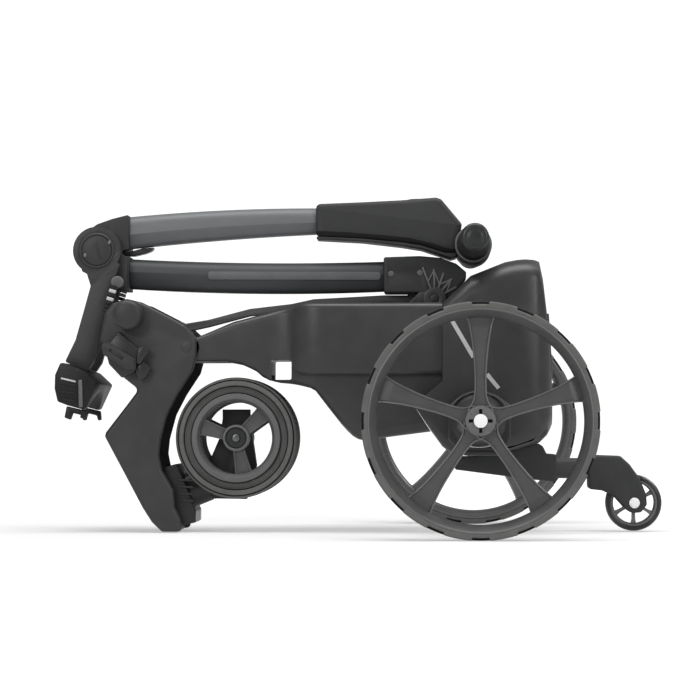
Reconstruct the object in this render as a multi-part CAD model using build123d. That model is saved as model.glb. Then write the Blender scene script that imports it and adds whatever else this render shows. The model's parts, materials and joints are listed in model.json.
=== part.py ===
from build123d import *
import math
import os

# Folding electric golf trolley in its folded position, standing on its wheels and on the foot of its leg:
# +X towards the trolley's rear, +Y towards its right side, +Z up.
# The origin is under the middle of the folded machine, on the floor. Millimetres.

# --- driving dimensions -------------------------------------------------------
REAR_R = 147.5                    # rear wheel over the tread
TRACK_OUT = 300.0                 # outer face of a rear wheel, from the middle plane
REAR_W = 50.0                     # rear wheel width
REAR_AXLE = (154.0, REAR_R)       # X, Z of the drive axle
LEG_PIVOT = (-229.0, 245.0)       # front leg hinge on the nose of the spine
TUBE_PIVOT = (98.0, 310.0)        # frame tube hinge on the rear housing
HANDLE_PIVOT = (-351.0, 374.0)    # handle knuckle on the frame tube's end
CRANK = (-15.0, 26.0)             # fold link pin from its hinge, the same at both ends
CASTOR_AXLE = (-165.0, 125.0)     # twin front wheels
STEM_R = 8.0                      # castor stem
LEG_PIN_R = 7.0                   # pins and axles, on the radius
TUBE_PIN_R = 6.0
HANDLE_PIN_R = 8.0
LINK_PIN_R = 4.0
DRIVE_AXLE_R = 8.0
FRONT_AXLE_R = 5.0
ANTITIP_AXLE_R = 4.0
STEM_DIR = (0.9285, 0.3714)       # castor stem, X and Z, pointing to the wheels
STEM_TRAIL = 40.6                 # castor axle to stem axis
ANTITIP_AXLE = (363.0, 38.6)
GRIP_BAR = (149.0, 381.0)         # cross bar of the handle
WALL = 3.2                        # moulded shells
FIT = 0.05                        # running fit, on the radius
GAP = 0.3                         # between neighbours that only pass each other
SIDES = {"left": -1, "right": 1}

LINK_PIN_LEG = (LEG_PIVOT[0] + CRANK[0], LEG_PIVOT[1] + CRANK[1])
LINK_PIN_TUBE = (TUBE_PIVOT[0] + CRANK[0], TUBE_PIVOT[1] + CRANK[1])


# --- helpers ------------------------------------------------------------------
def outline(points, radius=0.0):
    """A closed face in X and Z, with its corners rounded."""
    if not radius:
        return make_face(Polyline(*points, close=True))
    return make_face(FilletPolyline(*points, radius=radius, close=True))


def disc(centre, radius):
    return Pos(*centre) * Circle(radius)


def slab(face, low, high):
    """A face in X and Z, made solid from Y low to Y high."""
    return extrude(Plane.XZ.offset(-high) * face, amount=high - low)


def soft_slab(face, low, high, radius):
    """The same solid with its two outlines rounded over."""
    solid = slab(face, low, high)
    rims = solid.edges().group_by(Axis.Y)
    return fillet(rims[0] + rims[-1], radius)


def both(face, inner, outer):
    """The same slab on the left and on the right."""
    return slab(face, inner, outer) + slab(face, -outer, -inner)


def span(side, inner, outer):
    return (inner, outer) if side > 0 else (-outer, -inner)


def rod(centre, radius, low, high):
    return slab(disc(centre, radius), low, high)


def ring(centre, outer, inner, low, high):
    return rod(centre, outer, low, high) - rod(centre, inner, low - 1, high + 1)


def polar(centre, radius, degrees):
    angle = math.radians(degrees)
    return (centre[0] + radius * math.cos(angle), centre[1] + radius * math.sin(angle))


def tube_section(x, z, width, height, crease):
    """Section of a frame tube, square to X: domed above the crease in its sides and drawn in below it."""
    plane = Plane(origin=(x, 0, z), x_dir=(0, 1, 0), z_dir=(1, 0, 0))
    half = [(0.31 * width, -0.5 * height), (0.5 * width, crease * height), (0.43 * width, 0.5 * height)]
    corners = half + [(-y, z) for y, z in reversed(half)]
    radii = [0.26 * width, 1.6, 0.34 * width]
    return plane * make_face(FilletPolyline(*corners, radius=radii + radii[::-1], close=True))


def tube(stations, crease, wall=2.4):
    """A hollow tube through (x, z, width, height) stations; the crease is a share of the height."""
    skin = loft([tube_section(*s, crease) for s in stations])
    hollow = loft([tube_section(x, z, w - 2 * wall, h - 2 * wall, crease) for x, z, w, h in stations])
    return skin - hollow


def turned(points, centre, side=1):
    """A solid turned about a Y axis; points are (radius, y) and y is mirrored on the left."""
    face = make_face(Polyline(*[(r, side * y) for r, y in points], close=True))
    solid = revolve(Plane.XY * face, axis=Axis.Y)
    return Pos(centre[0], 0, centre[1]) * solid


NODES = {}


def keep(name, shape):
    NODES[name] = shape


# --- chassis: spine, battery body and rear housing --------------------------------
SPINE_HALF = 60.0
BODY_HALF = 78.0
PANEL_HALF = 92.0
LINK_SLOT = 10.0
NOSE_SLOT = 17.0
WELL_HALF = 41.0
SPINE = [(-236, 226), (-177, 226), (-157, 222), (-138, 213), (-123, 202), (-105, 198), (-20, 198),
         (-20, 303), (-78, 303), (-111, 294), (-171, 278), (-219, 257), (-236, 262)]
BODY = [(-88, 196), (-78, 194), (-61, 190), (-25, 143), (-10, 127), (4, 122), (92.5, 133.5), (69.5, 169.2),
        (107.5, 200.5), (107.5, 303), (-88, 303)]
PANEL = [(-76, 208), (107.5, 208), (107.5, 303), (-76, 303)]
WINDOW = [(-119, 202), (-91, 202), (-91, 228), (-119, 228)]
WHEEL_ARCH = [(-141, 190), (-108, 190), (-108, 207), (-124, 210), (-134, 208), (-141, 200)]
WELL = [(78, 246), (150, 246), (198, 294), (262, 336), (262, 400), (78, 400)]


def chassis_half(side):
    """Half of the split chassis casing: the spine, the battery body under it and the side panel."""
    skin = soft_slab(outline(SPINE, 6), -SPINE_HALF, SPINE_HALF, 5)
    skin += rod(LEG_PIVOT, 17, -SPINE_HALF, SPINE_HALF)
    skin += soft_slab(outline(BODY, 6), -BODY_HALF, BODY_HALF, 5.5)
    skin += soft_slab(outline(PANEL, 12), -PANEL_HALF, PANEL_HALF, 8)
    parts = [(outline(SPINE), SPINE_HALF), (outline(BODY), BODY_HALF), (outline(PANEL, 12), PANEL_HALF)]
    for face, half in parts:
        hollow = offset(face, amount=-WALL, kind=Kind.INTERSECTION)
        skin -= slab(hollow, WALL - half, half - WALL)
    frame = offset(outline(WINDOW), amount=WALL, kind=Kind.INTERSECTION)
    skin += slab(frame, WALL - SPINE_HALF, SPINE_HALF - WALL)
    skin -= slab(outline(WINDOW, 3), -2 * SPINE_HALF, 2 * SPINE_HALF)
    skin -= slab(outline([(-260, 200), (-176, 200), (-176, 320), (-260, 320)]), -NOSE_SLOT, NOSE_SLOT)
    skin -= slab(outline([(-180, 262), (-146, 262), (-146, 320), (-180, 320)]), -NOSE_SLOT, NOSE_SLOT)
    skin -= slab(outline([(-180, 262), (100, 262), (100, 320), (-180, 320)]), -LINK_SLOT, LINK_SLOT)
    skin -= slab(outline(WHEEL_ARCH), -36, 36)
    skin -= slab(outline(WELL), -WELL_HALF, WELL_HALF)
    skin -= slab(disc(LEG_PIVOT, LEG_PIN_R + FIT), -SPINE_HALF - 1, SPINE_HALF + 1)
    half = Pos(0, side * 100, 200) * Box(1000, 200, 600)
    return skin & half


HOUSING = [(108, 301.5), (145, 338), (190, 356), (212, 360), (230, 359), (237.5, 355), (245, 292), (252, 201),
           (252, 143), (246.5, 130), (233.5, 118), (197, 107.6), (145, 101), (112.5, 107.6), (93, 134.3),
           (70.4, 168.8), (108, 200.2)]
HOUSING_HALF = 105.0
BEARING_R = 16.0
SLITS = [[(114.5, 283), (119, 286), (150.5, 232), (146, 229)],
         [(163.5, 207), (168, 210), (183, 191.5), (179, 188.5)]]


def rear_housing():
    """Casing over the two motors, with a well in its top that the frame tube's hinge stands in."""
    face = outline(HOUSING, 2.5)
    skin = soft_slab(outline(HOUSING, 7), -HOUSING_HALF, HOUSING_HALF, 6.5)
    hollow = offset(outline(HOUSING), amount=-WALL, kind=Kind.INTERSECTION)
    skin -= slab(hollow, WALL - HOUSING_HALF, HOUSING_HALF - WALL)
    liner = offset(outline(WELL), amount=WALL, kind=Kind.INTERSECTION) & face
    skin += slab(liner, -WELL_HALF - WALL, WELL_HALF + WALL)
    skin -= slab(outline(WELL), -WELL_HALF, WELL_HALF)
    for slit in SLITS:
        skin -= both(outline(slit), WELL_HALF + 2 * WALL, HOUSING_HALF + 1)
    ear = disc(TUBE_PIVOT, 15) + outline([(86, 250), (112, 250), (113, 310), (83, 310)])
    skin += both(ear, 30.5, WELL_HALF - GAP)
    skin += both(outline([(100, 240), (125, 240), (125, 262), (100, 262)]) & face, 30.5, WELL_HALF + WALL)
    skin -= slab(disc(TUBE_PIVOT, TUBE_PIN_R + FIT), -WELL_HALF, WELL_HALF)
    skin -= slab(disc(REAR_AXLE, 24), -HOUSING_HALF - 1, HOUSING_HALF + 1)
    return skin


def rear_strip():
    """Bumper strip down the back of the rear housing."""
    strip = outline([(247.2, 291), (250.5, 291), (255.6, 204), (252.3, 204)])
    return slab(strip, -16, 16)


def pod(side):
    """Drive pod that carries the axle bearing out to the wheel."""
    arch = outline([(115, 124), (134, 103), (183, 103), (195.5, 124), (195.5, 168), (176, 182), (135, 182),
                    (115, 168)], 9)
    low, high = span(side, HOUSING_HALF + 0.1, 150)
    body = soft_slab(arch, low, high, 5)
    low, high = span(side, 150, 242)
    neck = turned([(0, 150), (36, 150), (30, 158), (24, 200), (22, 242), (0, 242)], REAR_AXLE, side)
    body += neck
    body -= rod(REAR_AXLE, BEARING_R, *span(side, HOUSING_HALF, 243))
    return body


def bearings():
    group = []
    for side in SIDES.values():
        for inner in (108, 228):
            group.append(ring(REAR_AXLE, BEARING_R, DRIVE_AXLE_R + FIT, *span(side, inner, inner + 12)))
    return Compound(group)


def motor(side):
    """Tubular gear motor round the axle's inner end."""
    can = rod(REAR_AXLE, 31, *span(side, 22, 92)) + rod(REAR_AXLE, 20, *span(side, 92, 101.5))
    can += rod(REAR_AXLE, 24, *span(side, 16, 22))
    return can - rod(REAR_AXLE, DRIVE_AXLE_R + FIT, *span(side, 12, 110))


def battery():
    pack = Pos(18, 0, 205) * Box(92, 124, 78)
    return chamfer(pack.edges(), 4)


BOARD = (30.0, 81.0, 268.0)
BOARD_SIZE = (90.0, 1.6, 44.0)


def controller():
    """Motor controller inside the right side panel, on four posts."""
    x, y, z = BOARD
    length, thick, height = BOARD_SIZE
    board = Pos(*BOARD) * Box(*BOARD_SIZE)
    for dx in (7 - length / 2, length / 2 - 7):
        for dz in (5 - height / 2, height / 2 - 5):
            board += rod((x + dx, z + dz), 3, y + thick / 2, PANEL_HALF - WALL - 0.1)
    return board


# --- anti-tip arm ---------------------------------------------------------------------
def antitip_arm():
    plate = outline([(112, 100), (126, 83), (226, 70), (259, 67), (259, 103), (246, 104), (241, 114),
                     (236, 117.5), (233, 117.2), (197, 106.8), (145, 100.2)], 1)
    arm = soft_slab(plate, -40, 40, 0.9)
    stub = Plane(origin=(259, 0, 84.5), x_dir=(0, 1, 0), z_dir=(1, 0, 0)) * RectangleRounded(34, 27, 10)
    return arm + extrude(stub, amount=43)


FORK = [(302, 57), (320, 55), (336, 48), (352, 30), (360, 25), (372, 26), (380, 36), (379, 50), (370, 72),
        (357, 90), (345, 101), (302, 102.5)]
ANTITIP_R = 37.5


def antitip_fork():
    shell = soft_slab(outline(FORK, 5), -21, 21, 4)
    shell -= rod(ANTITIP_AXLE, ANTITIP_R + 3.5, -14.5, 14.5)
    shell -= slab(outline([(363, -10), (420, -10), (420, 75), (363, 75)]), -14.5, 14.5)
    return shell - rod(ANTITIP_AXLE, ANTITIP_AXLE_R, -22, 22)


def antitip_axle():
    return rod(ANTITIP_AXLE, ANTITIP_AXLE_R, -22, 22) + both(disc(ANTITIP_AXLE, 7), 21, 24)


def spoke(centre, inner, outer, waist, flare, angle):
    """A straight-sided spoke that widens towards the rim."""
    points = [(inner, -waist), (outer, -flare), (outer, flare), (inner, waist)]
    face = Rot(0, 0, angle) * outline(points)
    return Pos(*centre) * face


def antitip_rim():
    rim = ring(ANTITIP_AXLE, 31, 27.5, -11, 11) + rod(ANTITIP_AXLE, 9, -12, 12)
    for k in range(6):
        rim += slab(spoke(ANTITIP_AXLE, 5, 29, 2.4, 3.4, 30 + 60 * k), -7, 7)
    return rim - rod(ANTITIP_AXLE, ANTITIP_AXLE_R + FIT, -15, 15)


def antitip_tyre():
    section = [(31, -11), (31, 11), (35.5, 11), (ANTITIP_R, 7), (ANTITIP_R, -7), (35.5, -11)]
    return turned(section, ANTITIP_AXLE)


# --- rear wheels ----------------------------------------------------------------------
RIM_R = 139.0
HUB_R = 20.0
BUTTON_R = 8.52                   # wheel release button
SPOKES = 5
LUGS = 16
LUG_GAP = (7.0, 22.0)             # twice the depth, and the length, of a gap in the tread's shoulder
TYRE_SEAM = 5.6                   # degrees; where the turned tyre closes on itself, clear of the gaps
WHEEL_IN = TRACK_OUT - REAR_W


def rear_rim(side):
    """Five-spoke rim with its hub, bored for the axle and slotted round the release button."""
    section = [(128, 260), (131, 252), (136, 250), (RIM_R, 250), (RIM_R, 299), (136, 299), (129, 292)]
    rim = turned(section, REAR_AXLE, side)
    for k in range(SPOKES):
        edge = [(10, 9), (60, 8), (100, 10), (131, 15)]
        blade = outline([(x, -z) for x, z in edge] + edge[::-1])
        face = Pos(*REAR_AXLE) * (Rot(0, 0, 90 + k * 360 / SPOKES) * blade)
        rim += slab(face, *span(side, 270, 288))
    rim += turned([(0, 246), (HUB_R, 246), (HUB_R, 296), (HUB_R - 2, 298), (0, 298)], REAR_AXLE, side)
    rim -= rod(REAR_AXLE, DRIVE_AXLE_R, *span(side, 240, 284))
    rim -= rod(REAR_AXLE, BUTTON_R + 0.08, *span(side, 284, 310))
    for angle in (0, 90):
        slot = Pos(*REAR_AXLE) * (Rot(0, 0, angle) * Rectangle(30, 4.4))
        rim -= slab(slot, *span(side, 293, 310))
    return rim


def rear_tyre(side):
    """Solid tyre with staggered gaps in the tread's two shoulders."""
    shoulder = [(RIM_R, 251), (RIM_R, 298), (144, 298), (REAR_R, 291), (REAR_R, 258), (144, 251)]
    tyre = Pos(REAR_AXLE[0], 0, REAR_AXLE[1]) * (Rot(0, TYRE_SEAM, 0) * turned(shoulder, (0, 0), side))
    for k in range(LUGS):
        for turn, low, high in ((k, 284, 300), (k + 0.5, 249, 265)):
            angle = turn * 360 / LUGS
            gap = Pos(*polar(REAR_AXLE, REAR_R, angle)) * (Rot(0, 0, angle) * Rectangle(*LUG_GAP))
            tyre -= slab(gap, *span(side, low, high))
    return tyre


def rear_axle(side):
    return rod(REAR_AXLE, DRIVE_AXLE_R, *span(side, 24, 283.5))


def release_button(side):
    return rod(REAR_AXLE, BUTTON_R, *span(side, 288, 299.5))


# --- frame tube with the upper bag cradle -------------------------------------------------
TUBE_END = -311.0
TUBE_ROOT = 30.0
FITTING_HALF = 28.0
SCREWS = [(40, 343.5), (78.4, 344.8)]
SCREW_R = 4.1


def frame_tube():
    return tube([(TUBE_END, 345, 44, 40), (-147, 339, 46, 41), (TUBE_ROOT, 341, 45, 40)], 0.06)


def hinge_fitting():
    """End fitting of the frame tube, forked over the fold link, that turns on the chassis pins."""
    sector = outline([(TUBE_ROOT, 318), (80, 318), (86, 300), (104, 297.5), (114, 304), (140, 338),
                      (140, 346), (127, 357), (106, 365), (78, 367.5), (TUBE_ROOT, 366)], 3)
    fitting = soft_slab(sector, -FITTING_HALF, FITTING_HALF, 2.8)
    slot = outline([(38, 280), (180, 280), (180, 352), (60, 352), (38, 330)])
    fitting -= slab(slot, -LINK_SLOT, LINK_SLOT)
    fitting -= slab(disc(TUBE_PIVOT, TUBE_PIN_R + FIT), -FITTING_HALF - 1, FITTING_HALF + 1)
    fitting -= slab(disc(LINK_PIN_TUBE, LINK_PIN_R + FIT), -20, 20)
    for place in SCREWS:
        fitting -= both(disc(place, SCREW_R + 0.1), FITTING_HALF - 2, FITTING_HALF + 1)
    return fitting


def fitting_screws():
    """Screws that hold the end fitting in the tube, two on each side."""
    ends = [span(side, FITTING_HALF - 2, FITTING_HALF + 0.6) for side in SIDES.values()]
    return Compound([rod(place, SCREW_R, *end) for place in SCREWS for end in ends])


KNUCKLE_R = 31.7


def frame_collar():
    """Fork end of the frame tube: it holds the handle knuckle between two round cheeks."""
    block = slab(outline([(-324, 322), (TUBE_END, 322), (TUBE_END, 368), (-324, 366)]), -27, 27)
    cheek = outline([(-351, 343), (-318, 322), (-312, 322), (-312, 366), (-322, 372)])
    block += both(disc(HANDLE_PIVOT, KNUCKLE_R) + cheek, 27, 36)
    block -= both(disc(HANDLE_PIVOT, HANDLE_PIN_R), 26, 37)
    return block


ARM = [(-378, 350), (-364, 343), (-359, 327), (-368, 294), (-379, 255), (-393, 226), (-363, 214),
       (-355, 226), (-349, 248), (-338, 294), (-331.5, 321), (-326, 340), (-319, 358)]


def cradle_arm(side):
    arm = outline(ARM, 3) + disc(HANDLE_PIVOT, KNUCKLE_R)
    plate = slab(arm, *span(side, 36 + 0.1, 50))
    plate -= rod(HANDLE_PIVOT, 24, *span(side, 46.5, 51))
    return plate - rod(HANDLE_PIVOT, HANDLE_PIN_R, *span(side, 35, 51))


def pivot_discs():
    return Compound([rod(HANDLE_PIVOT, 23.6, *span(s, 46.6, 51.5)) for s in SIDES.values()])


def handle_pin():
    return rod(HANDLE_PIVOT, HANDLE_PIN_R - 0.02, -46.5, 46.5)


CRADLE = [(-393, 225), (-400.5, 208), (-401, 190), (-397, 173), (-384, 168), (-362, 162), (-346, 197),
          (-363, 213)]


def cradle_saddle():
    """Padded saddle that the bag's top lies in, on the ends of the two arms."""
    pad = slab(outline(CRADLE, 4), -90, 90)
    bag = Plane.YZ.offset(-420) * (Pos(0, 88) * Circle(100))
    pad -= extrude(bag, amount=120)
    arm = offset(outline(ARM), amount=0.15, kind=Kind.INTERSECTION)
    return pad - both(arm, 36, 50.2)


def strap_hooks():
    hook = outline([(-386, 167), (-389, 152), (-381, 149), (-378, 158), (-366, 155), (-364, 148), (-360, 149),
                    (-361, 161)])
    return Compound([slab(hook, *span(s, 72, 84)) for s in SIDES.values()])


def upper_strap():
    """Elastic bag strap, parked along the back of the cradle arms."""
    pad = outline([(-333, 330), (-326, 330), (-338, 286), (-345, 286)])
    return Compound([slab(pad, *span(side, 52, 61)) for side in SIDES.values()])


# --- handle -------------------------------------------------------------------------------
HANDLE_ROOT = -311.0
HANDLE_END = -60.0


def handle_knuckle():
    """Knuckle of the handle tube, between the cheeks of the frame collar, with a faired top."""
    web = outline([(-374, 388), (-368, 401), (-353, 411), (-333, 418), (HANDLE_ROOT, 423.5),
                   (HANDLE_ROOT, 377.5), (-322, 375), (-351, 374)], 2)
    knuckle = slab(disc(HANDLE_PIVOT, 26) + web, -26.5, 26.5)
    return knuckle - slab(disc(HANDLE_PIVOT, HANDLE_PIN_R + FIT), -27, 27)


def handle_tube():
    return tube([(HANDLE_ROOT, 400.3, 44, 43), (-186, 410.5, 42, 40), (HANDLE_END, 415.5, 40, 35)], -0.08)


def handle_latch():
    lever = outline([(-320, 369.5), (-306, 369), (-291, 372.5), (-282, 376), (-279, 380.5), (-294, 379.5),
                     (-309, 375.5), (-320, 373.4)])
    return slab(lever, -11, 11)


NECK = [(HANDLE_END, 437), (0, 439.5), (53, 441.5), (100, 445), (107, 442.5), (136, 409), (129, 396),
        (129, 372), (122, 364), (113, 366), (80, 376.5), (53, 380.5), (0, 387), (HANDLE_END, 390)]
BOSS_R = 25.0
BAR_R = 12.0


def console_shell():
    """Moulded handle head, wider towards the cross bar."""
    body = slab(outline(NECK, 4), -46, 46)
    plan = [(-62, 25), (0, 29), (60, 38), (112, 46), (140, 46)]
    taper = make_face(Polyline(*plan, *[(x, -y) for x, y in reversed(plan)], close=True))
    body &= extrude(Plane.XY.offset(340) * taper, amount=130)
    body += slab(disc(GRIP_BAR, BOSS_R), -58, 58)
    body -= slab(disc(GRIP_BAR, BAR_R), -60, 60)
    dish = outline([(24, 437), (96, 441), (96, 460), (24, 460)])
    return body - slab(dish, -26, 26)


def console_display():
    return slab(outline([(24, 437), (96, 441), (96, 442.6), (24, 439)]), -26, 26) - DIAL_WELL


DIAL = (76.0, 14.0)
DIAL_WELL = Pos(DIAL[0], 0, 437) * extrude(Circle(DIAL[1] + 0.4), amount=12)


def speed_dial():
    knob = Pos(DIAL[0], 0, 441) * extrude(Circle(DIAL[1]), amount=4)
    return chamfer(knob.edges().sort_by(Axis.Z)[-1], 1)


def handlebar():
    return rod(GRIP_BAR, BAR_R, -196, 196) - rod(GRIP_BAR, BAR_R - 2.4, -197, 197)


def grip(side):
    section = [(BAR_R, 58.2), (22, 58.2), (19.5, 80), (18.5, 130), (18, 190), (BAR_R, 190)]
    return turned(section, GRIP_BAR, side)


def grip_caps():
    section = [(BAR_R, 190.2), (18, 190.2), (18, 196), (14, 199.5), (0, 200), (0, 196.1), (BAR_R, 196.1)]
    return Compound([turned(section, GRIP_BAR, side) for side in SIDES.values()])


# --- fold link ----------------------------------------------------------------------------
LINK_HALF = 7.0


def fold_link():
    """Rod that turns the front leg with the frame tube; loose eye at the leg, trunnion at the tube."""
    top = [(LINK_PIN_LEG[0], LINK_PIN_LEG[1] + 6), (-205, 283.5), (-150, 298), (-94, 304.5), (-64, 311),
           (30, 316), (62, 316), (77, 340)]
    low = [(89, 332), (72, 307), (62, 306.5), (30, 306.5), (-60, 301.5), (-94, 295), (-150, 288),
           (-205, 273.5), (LINK_PIN_LEG[0], LINK_PIN_LEG[1] - 6)]
    bar = outline(top + low) + disc(LINK_PIN_LEG, 10) + disc(LINK_PIN_TUBE, 8)
    link = slab(bar, -LINK_HALF, LINK_HALF) - rod(LINK_PIN_LEG, 6.5, -8, 8)
    return link + rod(LINK_PIN_TUBE, LINK_PIN_R, -19.5, 19.5)


# --- front leg with the lower bag support ---------------------------------------------------
EAR_IN = 62.0
EAR_OUT = 70.0
LEG = [(-328, 303), (-309, 309), (-288, 304), (-249, 284), (-232, 274), (-221, 264), (-216.5, 252),
       (-216.5, 232), (-222, 212), (-241, 183), (-255, 156), (-264, 123), (-266, 103), (-262, 83), (-247, 57),
       (-245, 34), (-238, 20), (-234, 1.5), (-262, 1.5), (-275, 14), (-288, 34), (-314, 83), (-337, 125),
       (-337, 132), (-293, 189), (-312, 204), (-328, 228), (-345, 254), (-338, 291)]
WEB_ZONE = [(-360, 250), (-330, 250), (-300, 215), (-276, 192), (-300, 150), (-316, 128), (-280, 60),
            (-254, 14), (-243, 8), (-243, -10), (-360, -10)]


def leg_shell():
    """Folding front leg: two side cheeks joined by a web round its front and foot."""
    face = outline(LEG, 1.2)
    ears = soft_slab(face, EAR_IN, EAR_OUT, 1.1) + soft_slab(face, -EAR_OUT, -EAR_IN, 1.1)
    rim = outline(LEG) - offset(outline(LEG), amount=-4, kind=Kind.INTERSECTION)
    web = slab(rim & outline(WEB_ZONE), -EAR_IN, EAR_IN)
    lug = outline([(-341, 250), (-341, 236), (-262, 262), (-244, 263), (-237, 270), (-242, 278), (-262, 274)])
    leg = ears + web + both(lug + disc(LINK_PIN_LEG, 7.5), 9, 14)
    leg += slab(disc(LINK_PIN_LEG, LINK_PIN_R), -10, 10)
    leg += both(outline([(-341, 250), (-341, 236), (-331, 240), (-331, 250)]), 0, EAR_IN)
    return leg - both(disc(LEG_PIVOT, LEG_PIN_R + FIT), EAR_IN - 1, EAR_OUT + 1)


def pivot_pins(centre, radius, inner, outer):
    return Compound([rod(centre, radius, *span(s, inner, outer)) for s in SIDES.values()])


CAP_CENTRE = (-304.6, 287.0)


def leg_caps():
    return Compound([turned([(0, 70.1), (20, 70.1), (20, 100), (17, 104), (0, 105.5)], CAP_CENTRE, s)
                     for s in SIDES.values()])


BUCKLE_OUT = 86.0


def lower_brackets():
    """Buckle bodies of the lower bag strap, on the sides of the leg."""
    body = outline([(-336, 244), (-317, 266), (-290, 240), (-296, 212), (-313, 204), (-330, 222)], 3)
    return Compound([slab(body, *span(s, EAR_OUT + 0.1, BUCKLE_OUT)) for s in SIDES.values()])


def strap_clip(side):
    """Lever of the lower strap's buckle, hinged along its lower edge."""
    lever = outline([(-340, 246), (-331, 251), (-294, 228), (-294, 214), (-306, 214), (-336, 234)], 2)
    return slab(lever, *span(side, BUCKLE_OUT + GAP, BUCKLE_OUT + 6))


# --- castor -------------------------------------------------------------------------------
def on_stem(along, across):
    """X and Z of a place measured from the castor axle, along and across the stem."""
    dx, dz = STEM_DIR
    return (CASTOR_AXLE[0] + along * dx - across * dz, CASTOR_AXLE[1] + along * dz + across * dx)


def stem_rod(radius, start, length):
    x, z = on_stem(start, -STEM_TRAIL)
    plane = Plane(origin=(x, 0, z), x_dir=(0, 1, 0), z_dir=(STEM_DIR[0], 0, STEM_DIR[1]))
    return extrude(plane * Circle(radius), amount=length)


def castor_housing():
    """Bearing block in the foot of the leg, bored for the castor stem."""
    block = outline([(-258, 13), (-262, 22), (-262, 86), (-244, 91), on_stem(-86, -12), on_stem(-86, -70),
                     on_stem(-92, -84), on_stem(-104, -82), (-240, 9)], 3)
    housing = soft_slab(block, -44, 44, 2.5)
    housing += stem_rod(24, -90, 29)
    return housing - stem_rod(STEM_R + FIT, -112, 60)


def castor_fork():
    """Castor arm on its stem, with the axle bore between the twin wheels."""
    arm = outline([on_stem(-59, -18), (-200, 102), (-190, 125), (-186, 150), (-186, 163), (-150, 163),
                   (-150, 150), (-146, 122), (-141, 88), (-154, 43), on_stem(-59, -64)])
    fork = slab(arm + disc(CASTOR_AXLE, 16), -13, 13)
    fork += stem_rod(24, -60, 12)
    fork += stem_rod(STEM_R, -108, 50)
    return fork - rod(CASTOR_AXLE, FRONT_AXLE_R, -14, 14)


def front_axle():
    return rod(CASTOR_AXLE, FRONT_AXLE_R, -57, 57)


FRONT_R = 80.5
FRONT_IN = 29.0
FRONT_OUT = 57.5


def front_rim(side):
    barrel = [(47, 33), (60, 31), (60, 56), (58, 57), (50, 57), (47, 52)]
    rim = turned(barrel, CASTOR_AXLE, side)
    for angle in (42, 162, 282):
        rim += slab(spoke(CASTOR_AXLE, 8, 49, 7, 11, angle), *span(side, 40, 50))
    rim += rod(CASTOR_AXLE, 17.5, *span(side, 30, 55))
    rim += rod(CASTOR_AXLE, 14.5, *span(side, 14.5, 30))
    return rim - rod(CASTOR_AXLE, FRONT_AXLE_R + FIT, *span(side, 10, 60))


def front_tyre(side):
    section = [(60, 31), (74, FRONT_IN), (78.5, 33), (FRONT_R, 38), (FRONT_R, 49), (78.5, 54),
               (74, FRONT_OUT), (60, 56)]
    return turned(section, CASTOR_AXLE, side)


# --- all the nodes --------------------------------------------------------------------------
def build():
    for name, side in SIDES.items():
        keep(f"chassis_shell_{name}", chassis_half(side))
        keep(f"drive_motor_{name}", motor(side))
        keep(f"drive_pod_{name}", pod(side))
        keep(f"rear_rim_{name}", rear_rim(side))
        keep(f"rear_tyre_{name}", rear_tyre(side))
        keep(f"rear_axle_{name}", rear_axle(side))
        keep(f"release_button_{name}", release_button(side))
        keep(f"cradle_arm_{name}", cradle_arm(side))
        keep(f"grip_{name}", grip(side))
        keep(f"strap_clip_{name}", strap_clip(side))
        keep(f"front_rim_{name}", front_rim(side))
        keep(f"front_tyre_{name}", front_tyre(side))
    keep("rear_housing", rear_housing())
    keep("rear_strip", rear_strip())
    keep("axle_bearings", bearings())
    keep("battery", battery())
    keep("controller_board", controller())
    keep("frame_pivot_pins", pivot_pins(TUBE_PIVOT, TUBE_PIN_R, 14, WELL_HALF - GAP))
    keep("leg_pivot_pins", pivot_pins(LEG_PIVOT, LEG_PIN_R, 40, EAR_OUT + 0.5))
    keep("antitip_arm", antitip_arm())
    keep("antitip_fork", antitip_fork())
    keep("antitip_axle", antitip_axle())
    keep("antitip_rim", antitip_rim())
    keep("antitip_tyre", antitip_tyre())
    keep("frame_tube", frame_tube())
    keep("hinge_fitting", hinge_fitting())
    keep("fitting_screws", fitting_screws())
    keep("frame_collar", frame_collar())
    keep("pivot_discs", pivot_discs())
    keep("handle_pin", handle_pin())
    keep("cradle_saddle", cradle_saddle())
    keep("strap_hooks", strap_hooks())
    keep("upper_strap", upper_strap())
    keep("handle_knuckle", handle_knuckle())
    keep("handle_tube", handle_tube())
    keep("handle_latch", handle_latch())
    keep("console_shell", console_shell())
    keep("console_display", console_display())
    keep("speed_dial", speed_dial())
    keep("handlebar", handlebar())
    keep("grip_caps", grip_caps())
    keep("fold_link", fold_link())
    keep("leg_shell", leg_shell())
    keep("leg_caps", leg_caps())
    keep("lower_brackets", lower_brackets())
    keep("castor_housing", castor_housing())
    keep("castor_fork", castor_fork())
    keep("front_axle", front_axle())


build()
os.makedirs("parts", exist_ok=True)
for node, shape in NODES.items():
    export_step(shape, f"parts/{node}.step")
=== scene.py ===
import json
import math

import bmesh
import bpy
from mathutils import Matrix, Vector
from mathutils.geometry import tessellate_polygon

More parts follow.
